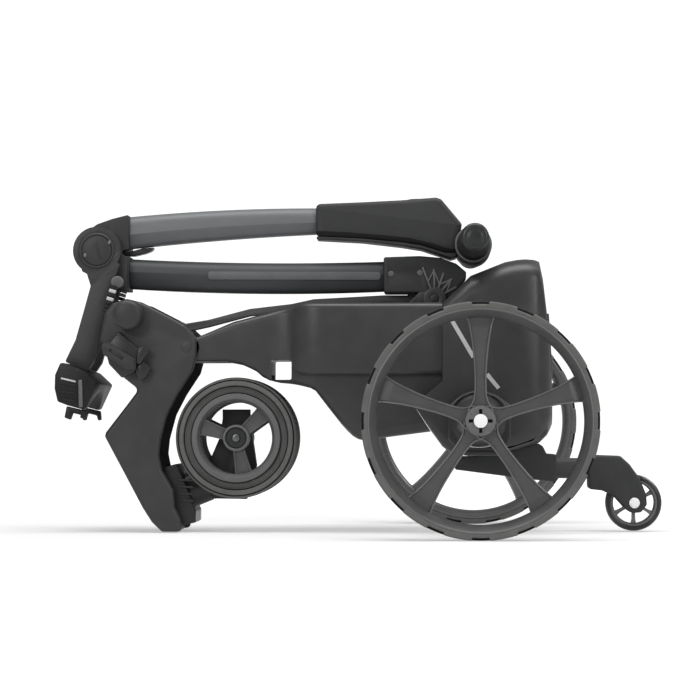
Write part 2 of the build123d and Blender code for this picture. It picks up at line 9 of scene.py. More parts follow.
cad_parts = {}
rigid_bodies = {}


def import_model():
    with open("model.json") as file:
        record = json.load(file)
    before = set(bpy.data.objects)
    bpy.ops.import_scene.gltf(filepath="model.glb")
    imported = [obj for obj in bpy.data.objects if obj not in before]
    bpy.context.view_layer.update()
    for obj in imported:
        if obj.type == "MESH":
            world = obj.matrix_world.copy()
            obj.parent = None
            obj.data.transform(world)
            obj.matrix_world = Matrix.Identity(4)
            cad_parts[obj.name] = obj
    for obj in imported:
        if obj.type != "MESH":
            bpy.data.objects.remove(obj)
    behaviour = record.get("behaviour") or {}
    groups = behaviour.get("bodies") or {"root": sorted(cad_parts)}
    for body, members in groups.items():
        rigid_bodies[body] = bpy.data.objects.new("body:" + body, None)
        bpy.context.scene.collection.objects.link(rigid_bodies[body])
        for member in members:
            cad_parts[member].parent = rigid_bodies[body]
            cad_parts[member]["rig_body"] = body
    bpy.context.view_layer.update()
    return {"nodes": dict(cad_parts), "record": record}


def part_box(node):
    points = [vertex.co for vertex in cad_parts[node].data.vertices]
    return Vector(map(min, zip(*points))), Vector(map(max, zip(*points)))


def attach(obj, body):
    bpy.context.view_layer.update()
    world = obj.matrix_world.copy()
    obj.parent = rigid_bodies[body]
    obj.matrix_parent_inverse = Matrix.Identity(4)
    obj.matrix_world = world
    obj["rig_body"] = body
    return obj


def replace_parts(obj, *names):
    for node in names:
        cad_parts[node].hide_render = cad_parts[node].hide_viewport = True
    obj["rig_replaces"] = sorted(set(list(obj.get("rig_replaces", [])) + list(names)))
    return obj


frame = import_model()

# The looks of a folded electric golf trolley, built round its CAD frame. Metres, in the frame's axes:
# +X to the trolley's rear, +Y to its right side, +Z up. "left" is the side with Y below zero.

NODES = frame["nodes"]
SIDES = {"left": -1.0, "right": 1.0}
MM = 0.001


# --- camera, floor and light ---
CAMERA_AT = (0.093, -3.569, 0.1475)
AIM_LEFT, AIM_UP = math.radians(1.74418), math.radians(1.52896)
SENSOR, LENS = 36.0, 136.8
FAR_CLIP = 60.0


def add_camera():
    data = bpy.data.cameras.new("camera")
    data.sensor_width = SENSOR
    data.lens = LENS
    data.clip_end = FAR_CLIP
    camera = bpy.data.objects.new("camera", data)
    camera.location = CAMERA_AT
    camera.rotation_euler = (math.pi / 2 + AIM_UP, 0.0, AIM_LEFT)
    bpy.context.scene.collection.objects.link(camera)
    bpy.context.scene.camera = camera


def area_light(name, place, target, size, watts):
    data = bpy.data.lights.new(name, "AREA")
    data.shape = "RECTANGLE"
    data.size, data.size_y = size
    data.energy = watts
    lamp = bpy.data.objects.new(name, data)
    lamp.location = place
    lamp.rotation_euler = (Vector(target) - Vector(place)).to_track_quat("-Z", "Y").to_euler()
    bpy.context.scene.collection.objects.link(lamp)


# The studio lights the trolley less than the camera sees of it. The floor glows most away from the
# trolley, so that the trolley's shadow still shows.
WORLD_LIT, WORLD_SEEN = 0.30, 1.1
FLOOR_GLOW_LIT = 0.30
FLOOR_GLOW_NEAR, FLOOR_GLOW_FAR = 0.42, 0.95
FLOOR_FADE_START, FLOOR_FADE_END = 0.45, 1.5
FLOOR_REACH = 30.0
FLOOR_GREY = 0.50
LAMPS = [  # name, place, target, size, watts
    ("overhead", (0.0, -0.5, 2.6), (0.0, 0.0, 0.2), (2.6, 1.2), 62),
    ("front", (-1.4, -2.8, 1.3), (0.0, 0.0, 0.2), (1.0, 0.8), 20),
    ("side", (1.9, -2.2, 1.1), (0.15, 0.0, 0.2), (0.5, 1.2), 16),
    ("rear", (1.8, 1.6, 1.7), (0.1, 0.0, 0.2), (1.2, 1.2), 24),
]


def link_camera_share(tree, socket, lit, seen):
    """One strength for what lights the trolley and another for what the camera sees of the studio."""
    path = tree.nodes.new("ShaderNodeLightPath")
    share = tree.nodes.new("ShaderNodeMapRange")
    share.inputs["To Min"].default_value = lit
    share.inputs["To Max"].default_value = seen
    tree.links.new(path.outputs["Is Camera Ray"], share.inputs["Value"])
    tree.links.new(share.outputs["Result"], socket)
    return share


def floor_paint():
    paint = bpy.data.materials.new("floor_paint")
    paint.use_nodes = True
    shader = paint.node_tree.nodes["Principled BSDF"]
    shader.inputs["Base Color"].default_value = (FLOOR_GREY, FLOOR_GREY, FLOOR_GREY, 1)
    shader.inputs["Roughness"].default_value = 0.9
    shader.inputs["Specular IOR Level"].default_value = 0.0
    shader.inputs["Emission Color"].default_value = (1, 1, 1, 1)
    tree = paint.node_tree
    share = link_camera_share(tree, shader.inputs["Emission Strength"], FLOOR_GLOW_LIT, FLOOR_GLOW_FAR)
    place = tree.nodes.new("ShaderNodeTexCoord")
    distance = tree.nodes.new("ShaderNodeVectorMath")
    distance.operation = "LENGTH"
    fade = tree.nodes.new("ShaderNodeMapRange")
    fade.interpolation_type = "SMOOTHSTEP"
    fade.inputs["From Min"].default_value = FLOOR_FADE_START
    fade.inputs["From Max"].default_value = FLOOR_FADE_END
    fade.inputs["To Min"].default_value = FLOOR_GLOW_NEAR
    fade.inputs["To Max"].default_value = FLOOR_GLOW_FAR
    tree.links.new(place.outputs["Object"], distance.inputs[0])
    tree.links.new(distance.outputs["Value"], fade.inputs["Value"])
    tree.links.new(fade.outputs["Result"], share.inputs["To Max"])
    return paint


def add_studio():
    floor_mesh = bpy.data.meshes.new("floor")
    reach = FLOOR_REACH
    corners = [(-reach, -reach, 0), (reach, -reach, 0), (reach, reach, 0), (-reach, reach, 0)]
    floor_mesh.from_pydata(corners, [], [(0, 1, 2, 3)])
    floor_mesh.materials.append(floor_paint())
    floor = bpy.data.objects.new("floor", floor_mesh)
    bpy.context.scene.collection.objects.link(floor)

    world = bpy.data.worlds.new("studio")
    bpy.context.scene.world = world
    world.use_nodes = True
    back = world.node_tree.nodes["Background"]
    back.inputs["Color"].default_value = (1, 1, 1, 1)
    link_camera_share(world.node_tree, back.inputs["Strength"], WORLD_LIT, WORLD_SEEN)

    for lamp in LAMPS:
        area_light(*lamp)
    bpy.context.scene.view_settings.view_transform = "Standard"


# --- materials ---
COAT_ROUGHNESS = 0.25
ROUGH_SPREAD = 0.10
GRAIN_DEPTH = 0.0002
# Pointiness range over which sharp edges turn pale: partly wear, partly a painted edge highlight.
EDGE_WEAR_HIGHLIGHT_FROM, EDGE_WEAR_HIGHLIGHT_TO = 0.53, 0.62


def surface(name, colour, roughness, metallic=0.0, specular=0.3, coat=0.0, mottle=0.25, mottle_scale=35.0,
            grain=0.25, grain_scale=900.0, wear_and_highlight=0.0, wear_and_highlight_colour=(0.2, 0.2, 0.2), stretch=None):
    """Procedural finish: mottled colour, uneven gloss, a fine grain in relief, and pale edges that are partly
    wear and partly a painted edge highlight.
    """
    made = bpy.data.materials.new(name)
    made.use_nodes = True
    tree = made.node_tree
    shader = tree.nodes["Principled BSDF"]
    shader.inputs["Metallic"].default_value = metallic
    shader.inputs["Specular IOR Level"].default_value = specular
    shader.inputs["Coat Weight"].default_value = coat
    shader.inputs["Coat Roughness"].default_value = COAT_ROUGHNESS
    place = tree.nodes.new("ShaderNodeTexCoord")
    source = place.outputs["Object"]
    if stretch:
        mapping = tree.nodes.new("ShaderNodeMapping")
        mapping.inputs["Scale"].default_value = stretch
        tree.links.new(source, mapping.inputs["Vector"])
        source = mapping.outputs["Vector"]

    def noise(scale, detail):
        node = tree.nodes.new("ShaderNodeTexNoise")
        node.inputs["Scale"].default_value = scale
        node.inputs["Detail"].default_value = detail
        tree.links.new(source, node.inputs["Vector"])
        return node.outputs["Fac"]

    clouds = noise(mottle_scale, 4.0)
    fine = noise(grain_scale, 2.0)
    blend = tree.nodes.new("ShaderNodeMix")
    blend.data_type = "RGBA"
    blend.inputs["A"].default_value = tuple(c * (1 - mottle) for c in colour) + (1,)
    blend.inputs["B"].default_value = tuple(min(1.0, c * (1 + mottle)) for c in colour) + (1,)
    tree.links.new(clouds, blend.inputs["Factor"])
    result = blend.outputs["Result"]
    # Sharp edges are mixed towards a pale colour: partly wear, partly a painted highlight along the edges.
    if wear_and_highlight:
        shape = tree.nodes.new("ShaderNodeNewGeometry")
        edge = tree.nodes.new("ShaderNodeMapRange")
        edge.inputs["From Min"].default_value = EDGE_WEAR_HIGHLIGHT_FROM
        edge.inputs["From Max"].default_value = EDGE_WEAR_HIGHLIGHT_TO
        edge.inputs["To Max"].default_value = wear_and_highlight
        tree.links.new(shape.outputs["Pointiness"], edge.inputs["Value"])
        worn_and_highlit = tree.nodes.new("ShaderNodeMix")
        worn_and_highlit.data_type = "RGBA"
        worn_and_highlit.inputs["B"].default_value = tuple(wear_and_highlight_colour) + (1,)
        tree.links.new(edge.outputs["Result"], worn_and_highlit.inputs["Factor"])
        tree.links.new(result, worn_and_highlit.inputs["A"])
        result = worn_and_highlit.outputs["Result"]
    tree.links.new(result, shader.inputs["Base Color"])
    gloss = tree.nodes.new("ShaderNodeMapRange")
    gloss.inputs["To Min"].default_value = max(0.03, roughness - ROUGH_SPREAD)
    gloss.inputs["To Max"].default_value = min(1.0, roughness + ROUGH_SPREAD)
    tree.links.new(clouds, gloss.inputs["Value"])
    tree.links.new(gloss.outputs["Result"], shader.inputs["Roughness"])
    bump = tree.nodes.new("ShaderNodeBump")
    bump.inputs["Strength"].default_value = grain
    bump.inputs["Distance"].default_value = GRAIN_DEPTH
    tree.links.new(fine, bump.inputs["Height"])
    tree.links.new(bump.outputs["Normal"], shader.inputs["Normal"])
    return made


MATERIALS = {
    "shell": surface("moulded_black", (0.036, 0.0363, 0.037), 0.36, specular=0.4, wear_and_highlight=0.18,
                     wear_and_highlight_colour=(0.12, 0.12, 0.12)),
    "leg": surface("leg_black", (0.038, 0.0383, 0.039), 0.42, specular=0.35, wear_and_highlight=0.18,
                   wear_and_highlight_colour=(0.12, 0.12, 0.12)),
    "pod": surface("pod_black", (0.040, 0.041, 0.041), 0.42, specular=0.3, wear_and_highlight=0.2),
    "arm_plastic": surface("arm_black", (0.036, 0.0365, 0.037), 0.5, specular=0.26, wear_and_highlight=0.2,
                           wear_and_highlight_colour=(0.11, 0.11, 0.11)),
    "clip": surface("clip_black", (0.024, 0.0245, 0.025), 0.33, specular=0.35, wear_and_highlight=0.22, grain=0.1),
    "console": surface("soft_touch_black", (0.034, 0.0355, 0.0345), 0.52, specular=0.26, mottle=0.15,
                       grain=0.4, grain_scale=1800.0),
    "cap": surface("cap_black", (0.036, 0.0365, 0.037), 0.45, specular=0.28, wear_and_highlight=0.15),
    "trim": surface("trim_grey", (0.06, 0.061, 0.063), 0.32, specular=0.4),
    "wheel_plastic": surface("wheel_nylon", (0.074, 0.0745, 0.075), 0.36, specular=0.35, wear_and_highlight=0.45,
                             wear_and_highlight_colour=(0.30, 0.30, 0.30), grain=0.35, grain_scale=1400.0),
    "tyre": surface("tyre_grey", (0.115, 0.114, 0.111), 0.7, specular=0.2, mottle=0.28, mottle_scale=60.0,
                    grain=0.5, grain_scale=700.0, wear_and_highlight=0.25, wear_and_highlight_colour=(0.22, 0.22, 0.215)),
    "grip": surface("grip_rubber", (0.022, 0.022, 0.0225), 0.62, specular=0.2, grain=0.6,
                    grain_scale=1200.0),
    "pad": surface("pad_rubber", (0.007, 0.007, 0.0073), 0.45, specular=0.3, grain=0.5, wear_and_highlight=0.15),
    "strap": surface("strap_rubber", (0.012, 0.012, 0.0124), 0.5, specular=0.25),
    "tube": surface("graphite_paint", (0.055, 0.058, 0.061), 0.52, metallic=0.15, specular=0.4,
                    mottle=0.10, grain=0.15, grain_scale=2500.0),
    "painted": surface("powder_black", (0.040, 0.0405, 0.042), 0.45, metallic=0.15, specular=0.35, grain=0.5,
                       grain_scale=1500.0, wear_and_highlight=0.2),
    "steel": surface("turned_steel", (0.16, 0.16, 0.165), 0.34, metallic=0.9, grain=0.3, mottle=0.1,
                     stretch=(1.0, 12.0, 1.0)),
    "bright": surface("bright_button", (0.92, 0.92, 0.92), 0.35, specular=0.5, mottle=0.02, grain=0.1),
    "motor": surface("anodised_can", (0.2, 0.2, 0.21), 0.35, metallic=1.0, mottle=0.1),
    "battery": surface("battery_case", (0.02, 0.02, 0.024), 0.5, specular=0.3),
    "board": surface("circuit_board", (0.01, 0.05, 0.02), 0.4, specular=0.4),
    "display": surface("display_window", (0.003, 0.003, 0.0035), 0.08, specular=0.5, coat=0.6, grain=0.02),
}
HUB_GREY = surface("hub_grey", (0.125, 0.125, 0.125), 0.55, specular=0.3, mottle=0.3, mottle_scale=260.0,
                   grain=0.6, grain_scale=500.0)
# Near-black painted into grooves, gaps, holes and undercuts: painted shade in those recesses.
RECESS_SHADE_BLACK = surface("recess_shade_black", (0.010, 0.010, 0.0104), 0.6, specular=0.2)
# Pale silver for the saddle's edge bead; on the pods and the rear housing it is painted light.
SILVER_AND_HIGHLIGHT = surface("silver_and_highlight", (0.62, 0.62, 0.63), 0.3, metallic=0.4, specular=0.5, mottle=0.05,
                      grain=0.05)
STRAP_WHITE = surface("strap_white", (0.55, 0.55, 0.55), 0.6, mottle=0.1, mottle_scale=200.0)
FRONT_RIM_GREY = surface("front_rim_grey", (0.088, 0.088, 0.089), 0.45, specular=0.35, wear_and_highlight=0.4,
                         wear_and_highlight_colour=(0.32, 0.32, 0.32), grain=0.4, grain_scale=1200.0)
CAP_DARK = surface("cap_dark", (0.020, 0.022, 0.022), 0.35, specular=0.4, mottle=0.4, mottle_scale=90.0)
# Dark grey painted as the shade in the left pivot cover's coin slot.
SLOT_SHADE_GREY = surface("slot_shade_grey", (0.030, 0.030, 0.031), 0.4)
INLAY_GREY = surface("inlay_grey", (0.105, 0.110, 0.115), 0.48, metallic=0.15, specular=0.4, grain=0.1)
HANDLE_GREY = surface("handle_grey", (0.135, 0.140, 0.145), 0.5, metallic=0.15, specular=0.4, mottle=0.10,
                      grain=0.15, grain_scale=2500.0)


# --- mesh helpers ---
# Outlines are (x, z) and profiles (radius, y), all in millimetres.
EDGE_STEPS = 2
EDGE_SHARPER_THAN = 28.0
SAME_POINT = 1e-6


def joint_place(name):
    """A joint's place in X and Z, in millimetres."""
    for joint in frame["record"]["behaviour"]["joints"]:
        if joint["name"] == name:
            return joint["pos_m"][0] / MM, joint["pos_m"][2] / MM
    raise KeyError(name)


def slot_of(node):
    for entry in frame["record"]["subparts"]:
        if entry["node"] == node:
            return entry["material_slot"]
    raise KeyError(node)


def apply_modifiers(piece):
    view = bpy.context.evaluated_depsgraph_get()
    baked = bpy.data.meshes.new_from_object(piece.evaluated_get(view))
    piece.modifiers.clear()
    piece.data = baked


def soften(piece, width):
    """Rounds the sharp edges of a machined or moulded piece."""
    bevel = piece.modifiers.new("edge", "BEVEL")
    bevel.width = width * MM
    bevel.segments = EDGE_STEPS
    bevel.limit_method = "ANGLE"
    bevel.angle_limit = math.radians(EDGE_SHARPER_THAN)
    bevel.use_clamp_overlap = True
    bevel.miter_outer = "MITER_ARC"
    apply_modifiers(piece)


def piece_from(build, name, slot, body, width=0.0, replaces=(), material=None, sharp=35):
    """Turns a finished bmesh into a named piece with its edges, finish and body; its slot picks the finish
    when none is given.
    """
    bmesh.ops.remove_doubles(build, verts=build.verts, dist=SAME_POINT)
    bmesh.ops.recalc_face_normals(build, faces=build.faces)
    mesh = bpy.data.meshes.new(name)
    build.to_mesh(mesh)
    build.free()
    piece = bpy.data.objects.new(name, mesh)
    bpy.context.scene.collection.objects.link(piece)
    if width:
        soften(piece, width)
    piece.data.shade_smooth()
    piece.data.set_sharp_from_angle(angle=math.radians(sharp))
    piece.data.materials.clear()
    piece.data.materials.append(material or MATERIALS[slot])
    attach(piece, body)
    if replaces:
        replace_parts(piece, *replaces)
    return piece


def flatten(build, degrees):
    """Joins the faces that lie in one plane."""
    bmesh.ops.dissolve_limit(build, angle_limit=math.radians(degrees), verts=build.verts, edges=build.edges)


def dress(node, width, material):
    """A finished copy of a CAD node: flat faces joined, edges rounded, and its finish put on."""
    source = NODES[node]
    build = bmesh.new()
    build.from_mesh(source.data)
    bmesh.ops.remove_doubles(build, verts=build.verts, dist=SAME_POINT)
    flatten(build, 0.6)
    piece_from(build, node + "_look", slot_of(node), source["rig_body"], width, (node,), material)


def add_loops(build, loops, ring=False):
    """Skins a row of equal loops; a ring joins the last to the first, else the ends are capped."""
    rows = [[build.verts.new((x * MM, y * MM, z * MM)) for x, y, z in loop] for loop in loops]
    count = len(rows[0])
    for first, second in list(zip(rows, rows[1:])) + ([(rows[-1], rows[0])] if ring else []):
        for i in range(count):
            j = (i + 1) % count
            build.faces.new((first[i], first[j], second[j], second[i]))
    if not ring:
        build.faces.new(rows[0])
        build.faces.new(rows[-1])


def add_prism(build, outline, low, high):
    add_loops(build, [[(x, y, z) for x, z in outline] for y in (low, high)])


def polar(centre, radius, degrees):
    angle = math.radians(degrees)
    return (centre[0] + radius * math.cos(angle), centre[1] + radius * math.sin(angle))


def circle(centre, radius, count=48):
    return [polar(centre, radius, 360.0 * i / count) for i in range(count)]


def arc_band(centre, first, second, start, end, steps):
    """Outline of a curved strip between two radii, from one angle to another."""
    angles = [start + (end - start) * i / steps for i in range(steps + 1)]
    return [polar(centre, first, a) for a in angles] + [polar(centre, second, a) for a in reversed(angles)]


def bar_outline(start, end, half):
    """Outline of a straight bar between two points, half as wide to each side."""
    along = (end - start).normalized()
    across = Vector((-along.y, along.x)) * half
    return [tuple(p) for p in (start - across, start + across, end + across, end - across)]


def rounded(points, radius, steps=5):
    """The outline with each corner replaced by an arc, as large as its two sides allow."""
    result = []
    for i, corner in enumerate(points):
        here = Vector(corner)
        back = Vector(points[i - 1]) - here
        ahead = Vector(points[(i + 1) % len(points)]) - here
        half = back.angle(ahead) / 2
        reach = min(radius / math.tan(half), 0.45 * back.length, 0.45 * ahead.length)
        start = here + back.normalized() * reach
        end = here + ahead.normalized() * reach
        for k in range(steps + 1):
            t = k / steps
            result.append(tuple(start * (1 - t) ** 2 + here * 2 * t * (1 - t) + end * t * t))
    return result


def inset(outline, distance, under=1.0):
    """The outline moved inwards; sides that face down move further by the factor under."""
    count = len(outline)
    area = sum(outline[i][0] * outline[(i + 1) % count][1] - outline[(i + 1) % count][0] * outline[i][1]
               for i in range(count))
    turn = 1.0 if area > 0 else -1.0
    result = []
    for i in range(count):
        before, here, after = (Vector(outline[(i + k) % count]) for k in (-1, 0, 1))
        sides = [(here - before).normalized(), (after - here).normalized()]
        normals = [Vector((-s.y, s.x)) * turn for s in sides]
        mean = (normals[0] + normals[1]).normalized()
        stretch = 1.0 / max(0.5, mean.dot(normals[0]))
        reach = distance * stretch * (1.0 + (under - 1.0) * max(0.0, mean.y))
        result.append(tuple(here + mean * reach))
    return result


def add_pillow(build, outline, half, radius, steps=6, under=1.0, width=None):
    """A body as wide as half on each side of the middle, its side faces rolled over at their edges."""
    sides = []
    for i in range(steps + 1):
        angle = math.radians(90.0 * i / steps)
        loop = inset(outline, radius * (1 - math.cos(angle)), under)
        sides.append((half - radius + radius * math.sin(angle), loop))
    row = [(-y, loop) for y, loop in reversed(sides)] + sides
    share = width or (lambda x: 1.0)
    add_loops(build, [[(x, y * share(x), z) for x, z in loop] for y, loop in row])


def add_lathe(build, profile, centre, side=1.0, steps=96):
    """A ring turned about an axis along Y through centre, from a closed profile."""
    loops = []
    for i in range(steps):
        angle = 360.0 * i / steps
        loops.append([(*polar(centre, r, angle), side * y) for r, y in profile])
    add_loops(build, [[(x, y, z) for x, z, y in loop] for loop in loops], ring=True)


def add_button(build, profile, centre, side=1.0, steps=48):
    """A solid turned about an axis along Y; the profile runs from its rim inwards to its middle."""
    loops = [[(*polar(centre, r, 360.0 * i / steps), side * y) for i in range(steps)] for r, y in profile]
    add_loops(build, [[(x, y, z) for x, z, y in loop] for loop in loops])


def add_blade(build, centre, angle, stations, section, side=1.0):
    """A spoke out of centre: at each (radius, half width), a loop of the section's points (sideways, y)."""
    along = Vector(polar((0, 0), 1.0, angle))
    across = Vector((-along.y, along.x))
    loops = []
    for radius, half in stations:
        loop = []
        for sideways, y in section(radius, half):
            place = along * radius + across * sideways
            loop.append((centre[0] + place.x, side * y, centre[1] + place.y))
        loops.append(loop)
    add_loops(build, loops)


def ordered(side, inner, outer):
    """Low and high Y of what lies between two distances from the middle, on one side."""
    return (inner, outer) if side > 0 else (-outer, -inner)


def held_by_left(node, name):
    """Replaced nodes, where one CAD node has a solid on each side: the left piece replaces it."""
    return (node,) if name == "left" else ()


def slab_piece(name, slot, body, outline, side, inner, outer, **look):
    """A flat piece of one outline, on one side of the trolley."""
    build = bmesh.new()
    add_prism(build, outline, *ordered(side, inner, outer))
    piece_from(build, name, slot, body, **look)


def ring_piece(name, slot, body, profile, centre, side=1.0, steps=96, **look):
    """A turned piece with a hole through it."""
    build = bmesh.new()
    add_lathe(build, profile, centre, side, steps)
    piece_from(build, name, slot, body, **look)


def button_piece(name, slot, body, profile, centre, side=1.0, steps=48, **look):
    """A turned piece, solid to its middle."""
    build = bmesh.new()
    add_button(build, profile, centre, side, steps)
    piece_from(build, name, slot, body, **look)


def add_sections(build, rows, steps=6):
    """A body along X through rounded upright sections: (x, half width, bottom, top, corner radius)."""
    loops = []
    for x, half, low, high, radius in rows:
        corners = ((half - radius, high - radius, 0), (radius - half, high - radius, 90),
                   (radius - half, low + radius, 180), (half - radius, low + radius, 270))
        loops.append([(x, *polar((y, z), radius, start + 90.0 * i / steps))
                      for y, z, start in corners for i in range(steps + 1)])
    add_loops(build, loops)


def carve(build, tool, operation="DIFFERENCE"):
    """The first solid with the second taken out of it, or only what the two share."""
    carvings = []
    for solid in (build, tool):
        bmesh.ops.recalc_face_normals(solid, faces=solid.faces)
        mesh = bpy.data.meshes.new("carving")
        solid.to_mesh(mesh)
        solid.free()
        carving = bpy.data.objects.new("carving", mesh)
        bpy.context.scene.collection.objects.link(carving)
        carvings.append(carving)
    cut = carvings[0].modifiers.new("cut", "BOOLEAN")
    cut.operation = operation
    cut.object = carvings[1]
    cut.solver = "EXACT"
    apply_modifiers(carvings[0])
    result = bmesh.new()
    result.from_mesh(carvings[0].data)
    for carving in carvings:
        bpy.data.objects.remove(carving)
    return result


def carve_slots(build, slots):
    """Takes out each slot: an outline in X and Z, as wide as its half width on both sides of the middle."""
    for outline, half in slots:
        tool = bmesh.new()
        add_prism(tool, outline, -half, half)
        build = carve(build, tool)
    return build


# --- places that several parts share ---
REAR_AXLE = joint_place("rear_spin_left")
FRONT_AXLE = joint_place("front_spin_left")
ANTITIP_AXLE = joint_place("antitip_spin")
HANDLE_PIVOT = joint_place("handle_fold")
LEG_PIVOT = joint_place("leg_fold")
TUBE_PIVOT = joint_place("frame_fold")
LEG_BORE, TUBE_BORE = 7.05, 6.05
PAST_SIDES = 95.0  # half width of a cut right through the casing
LEG_HOLE = (circle(LEG_PIVOT, LEG_BORE, 40), PAST_SIDES)
GRIP_BAR = tuple((a + b) / 2 / MM for a, b in zip(*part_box("handlebar")))[::2]


# --- rear wheels ---
LUGS = 16
LUG_GAP_DEGREES = 8.7
TREAD_R = 147.4
GAP_R = 143.9
GAP_SIDE_DEGREES = 0.3
GAP_FLOOR_DEGREES = 1.5
SHADE_TOP_R, SHADE_FLOOR_R = TREAD_R - 0.3, GAP_R - 0.8
SPOKES = 5


def tread_radius(angle, offset):
    """Radius of a tyre's shoulder: full on a lug, cut away between two lugs."""
    pitch = 360.0 / LUGS
    from_gap = abs((angle + offset * pitch + pitch / 2) % pitch - pitch / 2)
    return GAP_R if from_gap < LUG_GAP_DEGREES / 2 else TREAD_R


def rear_tyre(name, side):
    """A tyre with lugs on both shoulders, and black blocks in the gaps between them that paint the shade on
    the tread wall behind.
    """
    half = LUG_GAP_DEGREES / 2
    steps = (half + GAP_SIDE_DEGREES, half - GAP_SIDE_DEGREES, GAP_FLOOR_DEGREES)
    offsets = [sign * step for step in steps for sign in (-1, 1)]
    angles = [180.0 / LUGS * k + offset for k in range(2 * LUGS) for offset in offsets]
    loops = []
    for angle in sorted(angles):
        out, back = tread_radius(angle, 0.0), tread_radius(angle, 0.5)
        profile = [(139.2, 298.6), (140.6, 299.2), (out - 1.6, 299.2), (out - 0.3, 298.4), (out, 297.0),
                   (out, 285.0), (TREAD_R, 284.0), (TREAD_R, 266.0), (back, 265.0), (back, 253.5),
                   (back - 1.4, 251.6), (141.0, 251.0), (139.2, 251.6)]
        loops.append([(*polar(REAR_AXLE, r, angle), side * y) for r, y in profile])
    build = bmesh.new()
    add_loops(build, [[(x, y, z) for x, z, y in loop] for loop in loops], ring=True)
    body = f"rear_wheel_{name}"
    piece_from(build, f"tyre_{name}", "tyre", body, replaces=(f"rear_tyre_{name}",), sharp=30)
    # Black blocks over the tread wall in each gap between the lugs: painted shade.
    shades = bmesh.new()
    reach = half - GAP_SIDE_DEGREES
    for k in range(LUGS):
        for turn, inner, outer in ((k, 283.0, 285.4), (k + 0.5, 263.6, 266.2)):
            middle = 360.0 / LUGS * turn
            gap = arc_band(REAR_AXLE, SHADE_TOP_R, SHADE_FLOOR_R, middle - reach, middle + reach, 4)
            add_prism(shades, gap, *ordered(side, inner, outer))
    piece_from(shades, f"tread_gap_shade_{name}", "tyre", body, material=RECESS_SHADE_BLACK)


SPOKE_SHAPE = [(13, 16.5), (17, 14.2), (21, 11.6), (26, 9.4), (32, 8.2), (42, 7.6), (56, 7.6), (72, 8.4),
               (88, 9.8), (102, 11.6), (113, 13.6), (119, 14.8), (124, 16.0), (130.5, 18.5)]
SPOKE_FACE = 288.6
SPOKE_BACK = 271.0
CREASE_R = 121.0
CREASE_DROP = 3.4


def spoke_section(radius, half):
    """A flaring blade with a raised lip along each edge and a crease close to the rim."""
    face = SPOKE_FACE - (CREASE_DROP if radius > CREASE_R else 0.0)
    return [(-half, face - 3.0), (-half + 0.5, face - 0.5), (-half + 1.9, face), (-half + 3.0, face - 1.9),
            (half - 3.0, face - 1.9), (half - 1.9, face), (half - 0.5, face - 0.5), (half, face - 3.0),
            (half - 2.0, SPOKE_BACK), (-half + 2.0, SPOKE_BACK)]


def cross_hole(radius, reach, half, count=6):
    """Outline of a round hole with four short slots, for the release button."""
    points = []
    edge = math.degrees(math.asin(half / radius))
    for quarter in range(4):
        turn = 90.0 * quarter
        ahead = Vector(polar((0, 0), 1.0, turn))
        left = Vector((-ahead.y, ahead.x))
        points += [tuple(ahead * reach - left * half), tuple(ahead * reach + left * half)]
        arc = (90.0 - 2 * edge) / count
        points += [polar((0, 0), radius, turn + edge + arc * i) for i in range(count + 1)]
    return [(REAR_AXLE[0] + x, REAR_AXLE[1] + z) for x, z in points]


def add_holed_plate(build, outer, hole, low, high):
    """A plate with a hole in it."""
    flat = [Vector((x, z, 0)) for x, z in outer], [Vector((x, z, 0)) for x, z in hole]
    triangles = tessellate_polygon(flat)
    points = list(outer) + list(hole)
    layers = [[build.verts.new((x * MM, y * MM, z * MM)) for x, z in points] for y in (low, high)]
    for layer in layers:
        for triangle in triangles:
            build.faces.new([layer[i] for i in triangle])
    for start, count in ((0, len(outer)), (len(outer), len(hole))):
        for i in range(count):
            a, b = start + i, start + (i + 1) % count
            build.faces.new((layers[0][a], layers[0][b], layers[1][b], layers[1][a]))


def rear_rim(name, side):
    body = f"rear_wheel_{name}"
    build = bmesh.new()
    add_lathe(build, [(139.0, 298.8), (137.6, 299.2), (136.4, 298.2), (134.2, 295.2), (131.2, 291.5),
                      (129.2, 287.5), (128.4, 282.0), (128.2, 271.0), (129.0, 261.0), (131.4, 254.0),
                      (134.5, 251.2), (139.0, 250.6)], REAR_AXLE, side, steps=160)
    for k in range(SPOKES):
        add_blade(build, REAR_AXLE, 90.0 + k * 360.0 / SPOKES, SPOKE_SHAPE, spoke_section, side)
    add_button(build, [(18.0, 246.5), (19.4, 248.5), (19.4, 290.0), (19.0, 290.5)], REAR_AXLE, side)
    piece_from(build, f"rim_{name}", "wheel_plastic", body, replaces=(f"rear_rim_{name}",))
    plate = bmesh.new()
    hole = cross_hole(8.7, 14.6, 2.0)
    add_holed_plate(plate, circle(REAR_AXLE, 18.6, 64), hole, *ordered(side, 290.4, 297.2))
    flatten(plate, 1.0)
    piece_from(plate, f"hub_face_{name}", "wheel_plastic", body, width=0.5, material=HUB_GREY)
    # Black disc under the cross-shaped hole: painted shade in the hub's recess.
    button_piece(f"hub_floor_shade_{name}", "wheel_plastic", body, [(17.0, 290.5), (17.0, 292.6), (16.6, 292.8)],
                 REAR_AXLE, side, material=RECESS_SHADE_BLACK)


# --- front wheels ---
FRONT_GROOVES = [(59.0, 60.3, 51.6), (67.7, 69.3, 53.4), (75.9, 77.1, 52.6)]


FRONT_SPOKE = [(15.0, 7.4), (24.0, 8.2), (38.0, 9.8), (48.0, 11.2)]


def channel_section(radius, half):
    """A flat floor between two raised edges."""
    return [(-half, 50.4), (-half + 1.8, 50.4), (-half + 2.2, 48.6), (half - 2.2, 48.6), (half - 1.8, 50.4),
            (half, 50.4), (half, 40.0), (-half, 40.0)]


